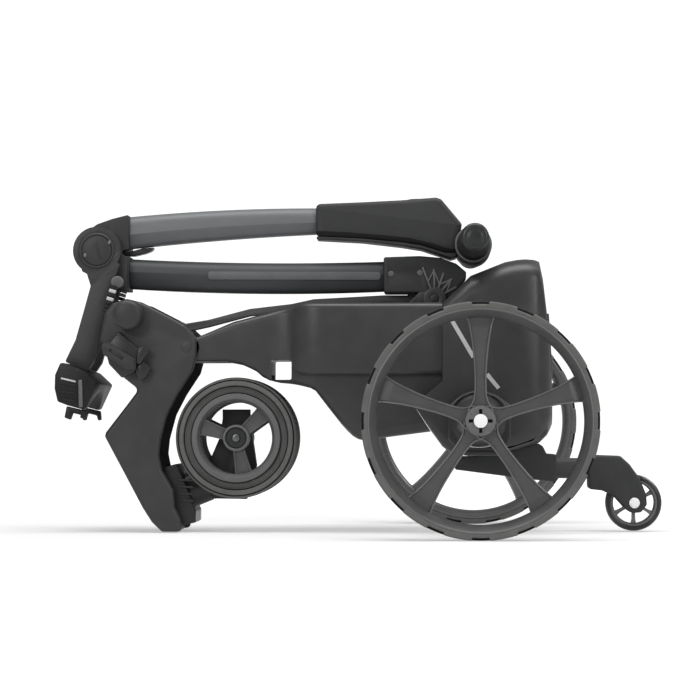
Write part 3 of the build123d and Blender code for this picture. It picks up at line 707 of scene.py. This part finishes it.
def front_wheel(name, side):
    body = f"front_wheel_{name}"
    tyre = [(60.4, 48.0), (60.4, 51.4), (61.4, 50.4), (63.5, 50.0), (65.6, 51.0), (67.2, 53.4), (67.6, 53.4),
            (67.6, 48.0), (69.4, 48.0), (69.4, 56.4), (70.2, 57.2), (74.6, 57.2), (75.6, 56.2), (75.8, 51.0),
            (77.2, 51.0), (77.4, 53.4), (79.2, 52.4), (80.3, 49.0), (80.4, 38.0), (79.0, 34.0), (75.0, 30.2),
            (66.0, 30.6), (60.4, 32.5)]
    ring_piece(f"front_tyre_{name}_look", "tyre", body, tyre, FRONT_AXLE, side, 128,
               replaces=(f"front_tyre_{name}",), sharp=28)
    # Black rings set into the tyre's grooves: painted shade in the recesses.
    grooves = bmesh.new()
    for inner, outer, depth in FRONT_GROOVES:
        groove = [(inner, 46.0), (outer, 46.0), (outer, depth), (inner, depth)]
        add_lathe(grooves, groove, FRONT_AXLE, side, 128)
    piece_from(grooves, f"front_groove_shade_{name}", "tyre", body, material=RECESS_SHADE_BLACK)
    rim = bmesh.new()
    add_lathe(rim, [(58.9, 33.0), (58.9, 55.6), (58.0, 57.0), (52.2, 57.2), (51.0, 56.4), (50.4, 53.6),
                    (48.4, 51.4), (47.4, 47.0), (47.0, 33.5)], FRONT_AXLE, side, steps=128)
    add_lathe(rim, [(17.6, 31.0), (17.6, 53.6), (16.8, 54.8), (15.2, 55.0), (14.2, 54.2), (13.8, 51.8),
                    (8.0, 51.4), (5.3, 51.0), (5.3, 31.0)], FRONT_AXLE, side, steps=64)
    piece_from(rim, f"front_rim_{name}_look", "wheel_plastic", body, replaces=(f"front_rim_{name}",),
               sharp=28, material=FRONT_RIM_GREY)
    spokes = bmesh.new()
    for angle in (42.0, 162.0, 282.0):
        add_blade(spokes, FRONT_AXLE, angle, FRONT_SPOKE, channel_section, side)
    piece_from(spokes, f"front_spokes_{name}", "wheel_plastic", body, width=0.4, material=FRONT_RIM_GREY)
    button_piece(f"front_cap_{name}", "wheel_plastic", body,
                 [(13.6, 50.0), (13.6, 52.0), (12.6, 52.8), (5.6, 53.2), (5.0, 53.0)], FRONT_AXLE, side,
                 sharp=25, material=CAP_DARK)
    nut = [(4.8, 52.0), (4.8, 55.6), (4.0, 56.4), (2.0, 56.8), (1.0, 56.8)]
    button_piece(f"front_nut_{name}", "bright", body, nut, FRONT_AXLE, side, sharp=30)


# --- anti-tip wheel ---
ANTITIP_SPOKE = [(7.0, 2.6), (14.0, 2.0), (22.0, 2.2), (28.5, 3.4)]


def flat_section(radius, half):
    return [(-half, 6.4), (half, 6.4), (half, -6.4), (-half, -6.4)]


def antitip_wheel():
    rim = bmesh.new()
    add_lathe(rim, [(31.0, 11.0), (30.0, 11.6), (28.2, 11.2), (27.4, 9.0), (27.4, -9.0), (28.2, -11.2),
                    (30.0, -11.6), (31.0, -11.0)], ANTITIP_AXLE, steps=72)
    for k in range(6):
        add_blade(rim, ANTITIP_AXLE, 30.0 + 60.0 * k, ANTITIP_SPOKE, flat_section)
    hub = [(9.6, -12.0), (9.6, 11.4), (8.8, 12.2), (5.0, 12.2), (5.0, -12.0)]
    add_lathe(rim, hub, ANTITIP_AXLE, steps=48)
    piece_from(rim, "antitip_rim_look", "wheel_plastic", "antitip_wheel", replaces=("antitip_rim",),
               material=FRONT_RIM_GREY)
    tyre = [(31.1, 11.2), (33.0, 12.0), (35.6, 11.4), (37.2, 8.4), (37.5, 4.0), (37.5, -4.0), (37.2, -8.4),
            (35.6, -11.4), (33.0, -12.0), (31.1, -11.2)]
    ring_piece("antitip_tyre_look", "tyre", "antitip_wheel", tyre, ANTITIP_AXLE, replaces=("antitip_tyre",),
               material=CAP_DARK)
    star = [polar(ANTITIP_AXLE, 7.4 if k % 2 == 0 else 4.6, 30.0 * k) for k in range(12)]
    for name, side in SIDES.items():
        slab_piece(f"antitip_star_{name}", "bright", "chassis", star, side, 23.0, 25.4, width=0.5)


# --- handle head ---
CONSOLE_HALF = 46.0
CONSOLE_WIDTHS = [(-62.0, 25.5), (0.0, 29.0), (60.0, 37.0), (110.0, 45.0), (150.0, CONSOLE_HALF)]


def console_half_width(x):
    """Half the width of the handle head, as a share of its widest; it grows towards the cross bar."""
    for (x0, w0), (x1, w1) in zip(CONSOLE_WIDTHS, CONSOLE_WIDTHS[1:]):
        if x <= x1:
            t = max(0.0, (x - x0) / (x1 - x0))
            return (w0 + (w1 - w0) * t) / CONSOLE_HALF
    return 1.0


def console():
    """The handle head: upper shell, the band below the parting line painted black as the shade of its
    undercut, lip and cross boss.
    """
    upper = rounded([(-60.4, 437.5), (0, 439.5), (53, 441.5), (100, 444.6), (107, 442.0), (134.5, 409),
                     (131, 392), (127, 371), (112, 371.5), (80, 381.5), (53, 386.0), (0, 391.5),
                     (-60.4, 394.0)], 7.0)
    parting = [(-70, 402), (-20, 399.5), (20, 396), (65, 391), (95, 383.5), (118, 376), (150, 376)]
    # The part below the parting line is painted black: painted shade of the undercut.
    for label, edge, paint in (("upper", 470, None), ("band", 340, RECESS_SHADE_BLACK)):
        build = bmesh.new()
        add_pillow(build, upper, CONSOLE_HALF, 7.0, under=2.4, width=console_half_width)
        keep = bmesh.new()
        add_prism(keep, parting + [(150, edge), (-70, edge)], -60, 60)
        build = carve(build, keep, "INTERSECT")
        replaced = ("console_shell",) if label == "upper" else ()
        piece_from(build, f"console_{label}", "console", "handle", replaces=replaced, sharp=50,
                   material=paint)
    lower = rounded([(-59.6, 394), (0, 391), (53, 385.6), (80, 381), (112, 371), (126, 371), (127, 366.5),
                     (119, 364.6), (112, 367.0), (80, 377.4), (53, 381.6), (0, 387.4), (-59.6, 390.4)], 1.2)
    lip = bmesh.new()
    add_pillow(lip, lower, 41.5, 0.8, steps=2, width=console_half_width)
    piece_from(lip, "console_lip", "console", "handle", sharp=50)
    boss = [(12.1, -57.5), (22.5, -57.5), (24.4, -55.6), (24.9, -50.0), (24.9, 50.0), (24.4, 55.6),
            (22.5, 57.5), (12.1, 57.5)]
    ring_piece("console_boss", "console", "handle", boss, GRIP_BAR, steps=72)
    seam = [(22.0, 57.4), (24.0, 57.6), (24.4, 59.0), (23.4, 60.4), (21.0, 60.8)]
    for name, side in SIDES.items():
        ring_piece(f"boss_seam_{name}", "console", "handle", seam, GRIP_BAR, side, 72, material=HUB_GREY)


GRIP_RIDGES = 22
GRIP_FIRST, GRIP_PITCH = 84.0, 4.6
GRIP_THICK, GRIP_TAPER = 19.6, 1.6


def grips():
    """Ridged rubber grips that taper a little towards their capped ends."""
    for name, side in SIDES.items():
        profile = [(12.1, 61.0), (21.4, 61.0), (22.0, 63.0), (20.0, 78.0)]
        for k in range(GRIP_RIDGES):
            y = GRIP_FIRST + k * GRIP_PITCH
            radius = GRIP_THICK - GRIP_TAPER * k / GRIP_RIDGES
            profile += [(radius, y), (radius + 0.5, y + 1.2), (radius + 0.5, y + 2.6), (radius, y + 3.6)]
        profile += [(18.0, 188.0), (17.4, 189.6), (12.1, 189.8)]
        ring_piece(f"grip_{name}_look", "grip", "handle", profile, GRIP_BAR, side, 72,
                   replaces=(f"grip_{name}",), sharp=40)
        cap = [(17.0, 190.1), (18.0, 190.6), (18.0, 195.4), (17.2, 197.4), (15.0, 198.8), (11.0, 199.4),
               (10.4, 199.0), (9.6, 199.4), (4.0, 199.8), (1.0, 199.8)]
        button_piece(f"grip_cap_{name}", "cap", "handle", cap, GRIP_BAR, side, 64,
                     replaces=held_by_left("grip_caps", name), sharp=50, material=CAP_DARK)


# --- bag cradle on the frame tube ---
def cradle_hub(name, side):
    """Turned cover of the handle pivot: a stepped disc with a coin slot and two screws."""
    cover = [(23.7, 46.7), (23.7, 50.6), (22.8, 51.6), (21.2, 51.9), (20.6, 51.0), (19.8, 50.6), (19.2, 51.6),
             (18.0, 52.2), (8.0, 52.6), (1.0, 52.6)]
    button_piece(f"pivot_cover_{name}", "cap", "frame", cover, HANDLE_PIVOT, side, 72,
                 replaces=held_by_left("pivot_discs", name), sharp=28)
    x, z = HANDLE_PIVOT
    # A dark slab marks the coin slot: painted shade of the slot, black on the right and dark grey on the
    # left.
    slot = rounded([(x - 4, z + 12.5), (x + 0.5, z + 12.5), (x + 7.5, z - 10.5), (x + 2.5, z - 10.5)], 2.0)
    slab_piece(f"pivot_slot_{name}", "cap", "frame", slot, side, 51.8, 52.9, width=0.2,
               material=RECESS_SHADE_BLACK if side > 0 else SLOT_SHADE_GREY)
    for k, (dx, dz) in enumerate(((17.0, 10.5), (-15.5, -6.5))):
        button_piece(f"pivot_screw_{name}_{k + 1}", "steel", "frame",
                     [(2.3, 51.5), (2.3, 52.8), (1.8, 53.2), (0.6, 53.2)], (x + dx, z + dz), side, 20)


STRAP_TOP, STRAP_BOTTOM = Vector((-326.5, 327.0)), Vector((-337.5, 290.5))
STRAP_BOLT = (-323.0, 331.5)
BEADS, WHITE_BEADS = 7, (1, 3)
BEAD_SHARE = 0.86
BEAD_HALF = 4.6


def upper_strap(name, side):
    """Parked elastic strap: a row of alternate black and pale beads, with its bolt."""
    for k in range(BEADS):
        start = STRAP_TOP.lerp(STRAP_BOTTOM, k / BEADS)
        end = STRAP_TOP.lerp(STRAP_BOTTOM, (k + BEAD_SHARE) / BEADS)
        slab_piece(f"strap_bead_{name}_{k + 1}", "strap", "frame", bar_outline(start, end, BEAD_HALF), side,
                   52.2, 60.5, width=0.8, replaces=() if k else held_by_left("upper_strap", name),
                   material=STRAP_WHITE if k in WHITE_BEADS else None)
    button_piece(f"strap_bolt_{name}", "cap", "frame",
                 [(8.4, 50.2), (8.4, 56.0), (7.4, 58.0), (4.0, 58.6), (1.0, 58.6)], STRAP_BOLT, side, 40,
                 sharp=30, material=FRONT_RIM_GREY)


SADDLE_FACE = 89.6


def saddle_detail(name, side):
    """Ribs, the pale stiffener and the edge bead on the outer face of the bag saddle."""
    for k, (x0, x1, z) in enumerate(((-394, -371, 196.5), (-396, -370, 185.5), (-394, -372, 176.0))):
        rib = rounded([(x0, z + 2.4), (x1, z - 1.4), (x1, z - 4.2), (x0, z - 0.6)], 0.8)
        slab_piece(f"saddle_rib_{name}_{k + 1}", "pad", "frame", rib, side, SADDLE_FACE, 92.0, width=0.5)
    bar = rounded([(-369.5, 201), (-364.5, 202), (-363.5, 166), (-368.5, 165)], 1.5)
    slab_piece(f"saddle_bar_{name}", "pad", "frame", bar, side, SADDLE_FACE, 94.0, width=0.8,
               material=HUB_GREY)
    bead = rounded([(-392.5, 204.8), (-373, 200.2), (-373, 198.0), (-392.5, 202.4)], 0.8)
    slab_piece(f"saddle_bead_{name}", "pad", "frame", bead, side, SADDLE_FACE, 91.4, width=0.4,
               material=SILVER_AND_HIGHLIGHT)


# --- front leg ---
CAP_CENTRE = (-304.6, 287.0)


def leg_cap(name, side):
    profile = [(19.4, 70.2), (19.6, 74.0), (20.0, 94.0), (19.4, 99.0), (17.4, 102.6), (13.0, 104.6),
               (6.0, 105.3), (1.0, 105.4)]
    button_piece(f"leg_cap_{name}", "cap", "leg", profile, CAP_CENTRE, side, 64,
                 replaces=held_by_left("leg_caps", name), sharp=45)


def buckle_detail(name, side):
    """Slotted keeper on the lower strap's clip, and the block and tongue of the buckle beside it."""
    keeper = bmesh.new()
    outer = rounded([(-339, 247), (-331, 251), (-296, 229.5), (-296, 216.5), (-306, 214.2), (-337, 235)], 2.5)
    hole = rounded([(-329.5, 239.5), (-326.5, 242.2), (-309.0, 230.2), (-312.0, 227.0)], 0.8, 2)
    add_holed_plate(keeper, outer, hole, *ordered(side, 92.3, 94.4))
    flatten(keeper, 1.0)
    piece_from(keeper, f"clip_keeper_{name}", "clip", f"clip_{name}", width=0.6,
               material=MATERIALS["arm_plastic"])
    block = rounded([(-296, 216), (-285, 226), (-275, 217), (-282, 205), (-290, 200)], 2.0)
    slab_piece(f"buckle_block_{name}", "clip", "leg", block, side, 72.0, 84.0, width=1.0)
    tongue = rounded([(-291, 243), (-284, 246), (-276, 241), (-289, 222), (-294, 224)], 1.6)
    slab_piece(f"buckle_tongue_{name}", "clip", "leg", tongue, side, 84.5, 88.6, width=0.8)


def castor_ribs(name, side):
    """Stiffening ribs moulded on each side of the castor housing."""
    for k in range(4):
        z = 42.0 + 9.0 * k
        rib = rounded([(-244, z + 2), (-222, z + 1), (-222, z - 1.6), (-244, z - 0.6)], 0.8)
        slab_piece(f"castor_rib_{name}_{k + 1}", "arm_plastic", "leg", rib, side, 43.6, 47.5, width=0.5)


LEG_OUTLINE = [(-328, 303), (-309, 309), (-288, 304), (-249, 284), (-232, 274), (-221, 264),
               (-216.5, 252), (-216.5, 232), (-222, 212), (-241, 183), (-255, 156), (-264, 123),
               (-266, 103), (-262, 83), (-247, 57), (-245, 34), (-238, 20), (-234, 1.5), (-262, 1.5),
               (-275, 14), (-288, 34), (-314, 83), (-338.5, 128.5), (-293, 189), (-312, 204),
               (-328, 228), (-345, 254), (-338, 291)]


WEB_HALF = 61.6
CHEEK_INSIDE, CHEEK_FACE = 61.5, 70.0
CHEEK_ROLL = 5.0
CHEEK_STEPS = 5


def leg():
    """The moulded leg: its web between two cheeks whose outer edges are rolled over."""
    web = bmesh.new()
    web.from_mesh(NODES["leg_shell"].data)
    bmesh.ops.remove_doubles(web, verts=web.verts, dist=SAME_POINT)
    between = bmesh.new()
    add_prism(between, [(-400, -10), (-190, -10), (-190, 330), (-400, 330)], -WEB_HALF, WEB_HALF)
    web = carve(web, between, "INTERSECT")
    piece_from(web, "leg_web", "leg", "leg", replaces=("leg_shell",), sharp=40)
    edge = rounded(LEG_OUTLINE, 7.0, 4)
    rows = [(CHEEK_INSIDE, edge)]
    for i in range(CHEEK_STEPS + 1):
        angle = math.radians(90.0 * i / CHEEK_STEPS)
        y = CHEEK_FACE - CHEEK_ROLL + CHEEK_ROLL * math.sin(angle)
        rows.append((y, inset(edge, CHEEK_ROLL * (1 - math.cos(angle)))))
    for name, side in SIDES.items():
        cheek = bmesh.new()
        add_loops(cheek, [[(x, side * y, z) for x, z in loop] for y, loop in rows])
        cheek = carve_slots(cheek, [LEG_HOLE])
        piece_from(cheek, f"leg_cheek_{name}", "leg", "leg", sharp=40)


# --- chassis casing ---
BATTERY_ROOM = [(-34, 160), (66, 160), (66, 254), (-34, 254)]
LINK_ROOM = [(-222, 231), (-180, 231), (-158, 228), (-124, 233), (-86, 233), (-60, 200), (-34, 164),
             (64, 164), (64, 240), (74, 240), (74, 296), (-80, 296), (-112, 289), (-172, 272),
             (-222, 250)]
BOARD_ROOM = [(-20, 240), (80, 240), (80, 294), (-20, 294)]
CASING_ROWS = [(-236, 56, 230, 256, 6), (-234, 59, 227, 258, 6), (-231, 60, 226, 259, 6),
               (-219, 60, 226, 257.5, 6), (-195, 60, 226, 267.5, 8), (-177, 60, 226, 275.3, 9),
               (-168, 60, 224.4, 279, 9), (-157, 60, 222, 281.8, 9), (-146, 60, 217, 284.7, 9),
               (-138, 60, 213, 286.8, 9), (-130, 60, 206, 289, 9), (-121, 60, 201.3, 291.3, 9),
               (-111, 60, 199, 294, 9), (-100, 60.6, 198, 297, 9), (-92, 63, 197, 299.5, 9),
               (-84, 69, 195.5, 302, 10), (-76, 74, 193.6, 303, 11), (-66, 77, 191, 303, 12),
               (-59, 77.8, 187, 303, 14), (-43, 78, 166, 303, 16), (-25, 78, 143, 303, 18),
               (-17, 78, 134, 303, 20), (-10, 78, 127.5, 303, 20), (-3, 78, 123.5, 303, 20),
               (4, 78, 122, 303, 20), (50, 78, 128, 303, 20), (107.5, 78, 135.4, 303, 20)]
PANEL_ROWS = [(-88, 77, 214, 297, 6), (-84, 80.5, 211, 300, 7), (-78, 84.5, 209, 302, 8),
              (-70, 88.5, 208, 303, 9), (-62, 91, 208, 303, 9), (-54, 91.9, 208, 303, 9),
              (-46, 92, 208, 303, 9), (107.5, 92, 208, 303, 9)]
WELL = [(78, 246), (150, 246), (198, 294), (262, 336), (262, 400), (78, 400)]
WELL_HALF = 41.0
CASING_SLOTS = [([(-260, 200), (-176, 200), (-176, 320), (-260, 320)], 17.0),
                ([(-180, 262), (-146, 262), (-146, 320), (-180, 320)], 17.0),
                ([(-180, 262), (100, 262), (100, 320), (-180, 320)], 10.0),
                ([(-141, 190), (-108, 190), (-108, 207), (-124, 210), (-134, 208), (-141, 200)], 36.0),
                (WELL, WELL_HALF),
                ([(92.5, 133.5), (69.5, 169.2), (107.5, 200.5), (112, 200.5), (112, 100), (92.5, 100)],
                 PAST_SIDES),
                (rounded([(-119, 202), (-91, 202), (-91, 228), (-119, 228)], 3.0), PAST_SIDES)]
ROOMS = [(LINK_ROOM, 54.0), (BATTERY_ROOM, 72.0)]
PANEL_INSIDE = 75.0


def casing():
    """Spine and battery casing in one soft body, and the wider side panels."""
    build = bmesh.new()
    add_sections(build, CASING_ROWS)
    build = carve_slots(build, CASING_SLOTS + ROOMS + [LEG_HOLE])
    piece_from(build, "chassis_casing", "shell", "chassis",
               replaces=("chassis_shell_left", "chassis_shell_right"), sharp=40)
    panel = bmesh.new()
    add_sections(panel, PANEL_ROWS)
    core = bmesh.new()
    add_prism(core, [(-120, 150), (140, 150), (140, 330), (-120, 330)], -PANEL_INSIDE, PANEL_INSIDE)
    panel = carve(panel, core)
    room = bmesh.new()
    for low, high in (ordered(side, 74.0, 88.8) for side in SIDES.values()):
        add_prism(room, BOARD_ROOM, low, high)
    panel = carve(panel, room)
    piece_from(panel, "chassis_panels", "shell", "chassis", sharp=40)
    nose = [(LEG_BORE, 17.0), (17.0, 17.0), (17.0, 58.5), (15.5, 60.0), (LEG_BORE, 60.0)]
    for name, side in SIDES.items():
        ring_piece(f"chassis_nose_{name}", "shell", "chassis", nose, LEG_PIVOT, side, 48)


HOUSING = [(108, 301.5), (145, 338), (190, 356), (212, 360), (230, 359), (237.5, 355), (245, 292),
           (252, 201), (252, 143), (246.5, 130), (233.5, 118), (197, 107.6), (145, 101), (112.5, 107.6),
           (93, 134.3), (70.4, 168.8), (108, 200.2)]
HOUSING_ROWS = [(60, 105, 150, 301.5, 20), (70.4, 105, 150, 301.5, 20), (93, 105, 134.3, 301.5, 20),
                (108, 105, 113.8, 301.5, 22), (118, 105, 106.4, 311.4, 24), (145, 105, 101, 338, 28),
                (170, 105, 104.2, 348, 30), (190, 104.5, 106.7, 356, 30), (205, 104, 109.8, 359, 30),
                (218, 103, 113.5, 360, 30), (228, 101, 116.3, 359.3, 30), (235, 98.5, 119.2, 357, 28),
                (240, 95.5, 124, 334, 26), (245, 91, 128.6, 292, 24), (249, 84, 136, 240, 20),
                (252, 74, 143, 201, 16)]
MOTOR_ROOM = [(116, 114), (146, 106), (196, 112), (226, 122), (240, 140), (243, 200), (240, 238),
              (118, 238)]
# Outlines of two slanted strips on the rear housing, painted bright where pale lines of light show.
LIGHT_STRIPS = [[(114.5, 283), (119, 286), (150.5, 232), (146, 229)],
          [(163.5, 207), (168, 210), (183, 191.5), (179, 188.5)]]
EAR = [(86, 246.2), (112, 246.2), (113, 304), (83, 304)]
GUSSET = [(62, 302.5), (88, 302.5), (86, 319), (78, 319)]


def housing_envelope(extra=0.0):
    """The casing's outside: rounded sections, trimmed to its outline seen from the side."""
    envelope = bmesh.new()
    add_sections(envelope, [(x, half + extra, *rest) for x, half, *rest in HOUSING_ROWS])
    trim = bmesh.new()
    add_prism(trim, rounded(HOUSING, 5.0, 4), -120.0, 120.0)
    return carve(envelope, trim, "INTERSECT")


def housing():
    """Casing over the two motors, with rolled side edges, the hinge well and the ears in it."""
    build = housing_envelope()
    build = carve_slots(build, [(WELL, WELL_HALF), (circle(REAR_AXLE, 24.0), 120.0), (MOTOR_ROOM, 92.5)])
    piece_from(build, "rear_housing_look", "shell", "chassis", replaces=("rear_housing",), sharp=40)
    for name, side in SIDES.items():
        ear = bmesh.new()
        add_prism(ear, rounded(EAR, 1.0, 2), *ordered(side, 30.5, 40.9))
        ear = carve_slots(ear, [(circle(TUBE_PIVOT, 14.9), 60.0)])
        piece_from(ear, f"housing_ear_{name}", "shell", "chassis")
        slab_piece(f"housing_gusset_{name}", "shell", "chassis", rounded(GUSSET, 1.5, 3), side, 31.0, 37.0,
                   width=0.6)
        ring_piece(f"housing_eye_{name}", "shell", "chassis",
                   [(TUBE_BORE, 30.5), (15.0, 30.5), (15.0, 40.7), (TUBE_BORE, 40.7)], TUBE_PIVOT, side, 48,
                   width=0.5)


# --- frame fitting and drive pods ---
FITTING_FACE = 27.6
RIB_ENDS = [(82, 352), (97, 350), (110, 345), (121, 337), (127, 326)]
RIB_START = 12.0


def fitting_lattice(name, side):
    """Web of ribs on the side of the hinge fitting, fanned out from the pivot, with braces between them."""
    hub = Vector(TUBE_PIVOT)
    for k, end in enumerate(RIB_ENDS):
        start = hub + (Vector(end) - hub).normalized() * RIB_START
        rib = bar_outline(start, Vector(end), 1.3)
        slab_piece(f"lattice_rib_{name}_{k + 1}", "arm_plastic", "frame", rib, side, FITTING_FACE, 30.2,
                   width=0.4, material=FRONT_RIM_GREY)
    for k, (first, second) in enumerate(zip(RIB_ENDS, RIB_ENDS[1:])):
        start = hub.lerp(Vector(first), 0.95 if k % 2 else 0.55)
        end = hub.lerp(Vector(second), 0.55 if k % 2 else 0.95)
        brace = bar_outline(start, end, 1.0)
        slab_piece(f"lattice_brace_{name}_{k + 1}", "arm_plastic", "frame", brace, side, FITTING_FACE, 29.8,
                   width=0.3, material=FRONT_RIM_GREY)
    collar = [(6.2, FITTING_FACE), (6.2, 30.3), (11.0, 30.3), (11.8, 29.8), (11.8, FITTING_FACE)]
    ring_piece(f"lattice_hub_{name}", "arm_plastic", "frame", collar, TUBE_PIVOT, side, 40, material=CAP_DARK)


POD_FACE = 149.4


def pod_detail(name, side):
    """Arched rib, lower grille, and a bright strip that paints the highlight along the lower edge of a drive
    pod's outer face.
    """
    x, z = REAR_AXLE
    arch = arc_band((x, z - 4), 43.0, 40.4, 25, 155, 16)
    slab_piece(f"pod_arch_{name}", "pod", "chassis", arch, side, POD_FACE, 152.6, width=0.4,
               material=FRONT_RIM_GREY)
    for k in range(4):
        top = z - 24.0 - 5.2 * k
        rib = rounded([(x - 19, top), (x + 21, top), (x + 19, top - 2.4), (x - 17, top - 2.4)], 0.6)
        slab_piece(f"pod_rib_{name}_{k + 1}", "pod", "chassis", rib, side, POD_FACE, 152.8, width=0.4)
    # Bright strip along the pod's lower edge: a painted highlight.
    lip = arc_band((x, z + 34), 66.5, 68.3, 255, 285, 12)
    slab_piece(f"pod_highlight_strip_{name}", "pod", "chassis", lip, side, 149.6, 153.4, width=0.3, material=SILVER_AND_HIGHLIGHT)


def housing_light_strips(name, side):
    """Two slanted bright strips, flush with the side of the rear housing: painted light where pale lines of
    light show there.
    """
    for k, outline in enumerate(LIGHT_STRIPS):
        inlay = bmesh.new()
        add_prism(inlay, outline, *ordered(side, 92.0, 108.0))
        inlay = carve(inlay, housing_envelope(0.5), "INTERSECT")
        piece_from(inlay, f"housing_light_strip_{name}_{k + 1}", "shell", "chassis", material=SILVER_AND_HIGHLIGHT)


def tube_inlay(name, side):
    """Plain satin inlay along the side of the frame tube."""
    outline = rounded([(-205, 347.6), (26, 346.2), (26, 335.6), (-205, 336.6)], 5.0)
    slab_piece(f"tube_inlay_{name}", "tube", "frame", outline, side, 22.4, 23.5, width=0.4,
               material=INLAY_GREY)


# --- the pieces ---
EDGE_WIDTH = 0.8
SOFTNESS = {"hinge_fitting": 0.5, "handle_knuckle": 2.5, "cradle_arm_left": 2.0, "cradle_arm_right": 2.0,
            "cradle_saddle": 2.0, "frame_collar": 1.5, "lower_brackets": 2.0, "strap_clip_left": 1.2,
            "strap_clip_right": 1.2, "strap_hooks": 1.2, "handle_latch": 1.6, "fold_link": 1.2,
            "rear_strip": 1.2, "speed_dial": 0.5}
FINISHES = {"leg_pivot_pins": MATERIALS["leg"], "handle_tube": HANDLE_GREY, "frame_pivot_pins": CAP_DARK,
            "castor_housing": MATERIALS["clip"], "strap_hooks": MATERIALS["pad"],
            "fold_link": FRONT_RIM_GREY, "fitting_screws": HUB_GREY}
PAIRED = (rear_tyre, rear_rim, front_wheel, cradle_hub, upper_strap, saddle_detail, leg_cap, buckle_detail,
          castor_ribs, fitting_lattice, pod_detail, housing_light_strips, tube_inlay)

for name, side in SIDES.items():
    for build_part in PAIRED:
        build_part(name, side)
casing()
housing()
leg()
antitip_wheel()
console()
grips()

done = {node for piece in bpy.data.objects for node in piece.get("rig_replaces", [])}
for node in sorted(set(NODES) - done):
    dress(node, SOFTNESS.get(node, EDGE_WIDTH), FINISHES.get(node))

add_camera()
add_studio()
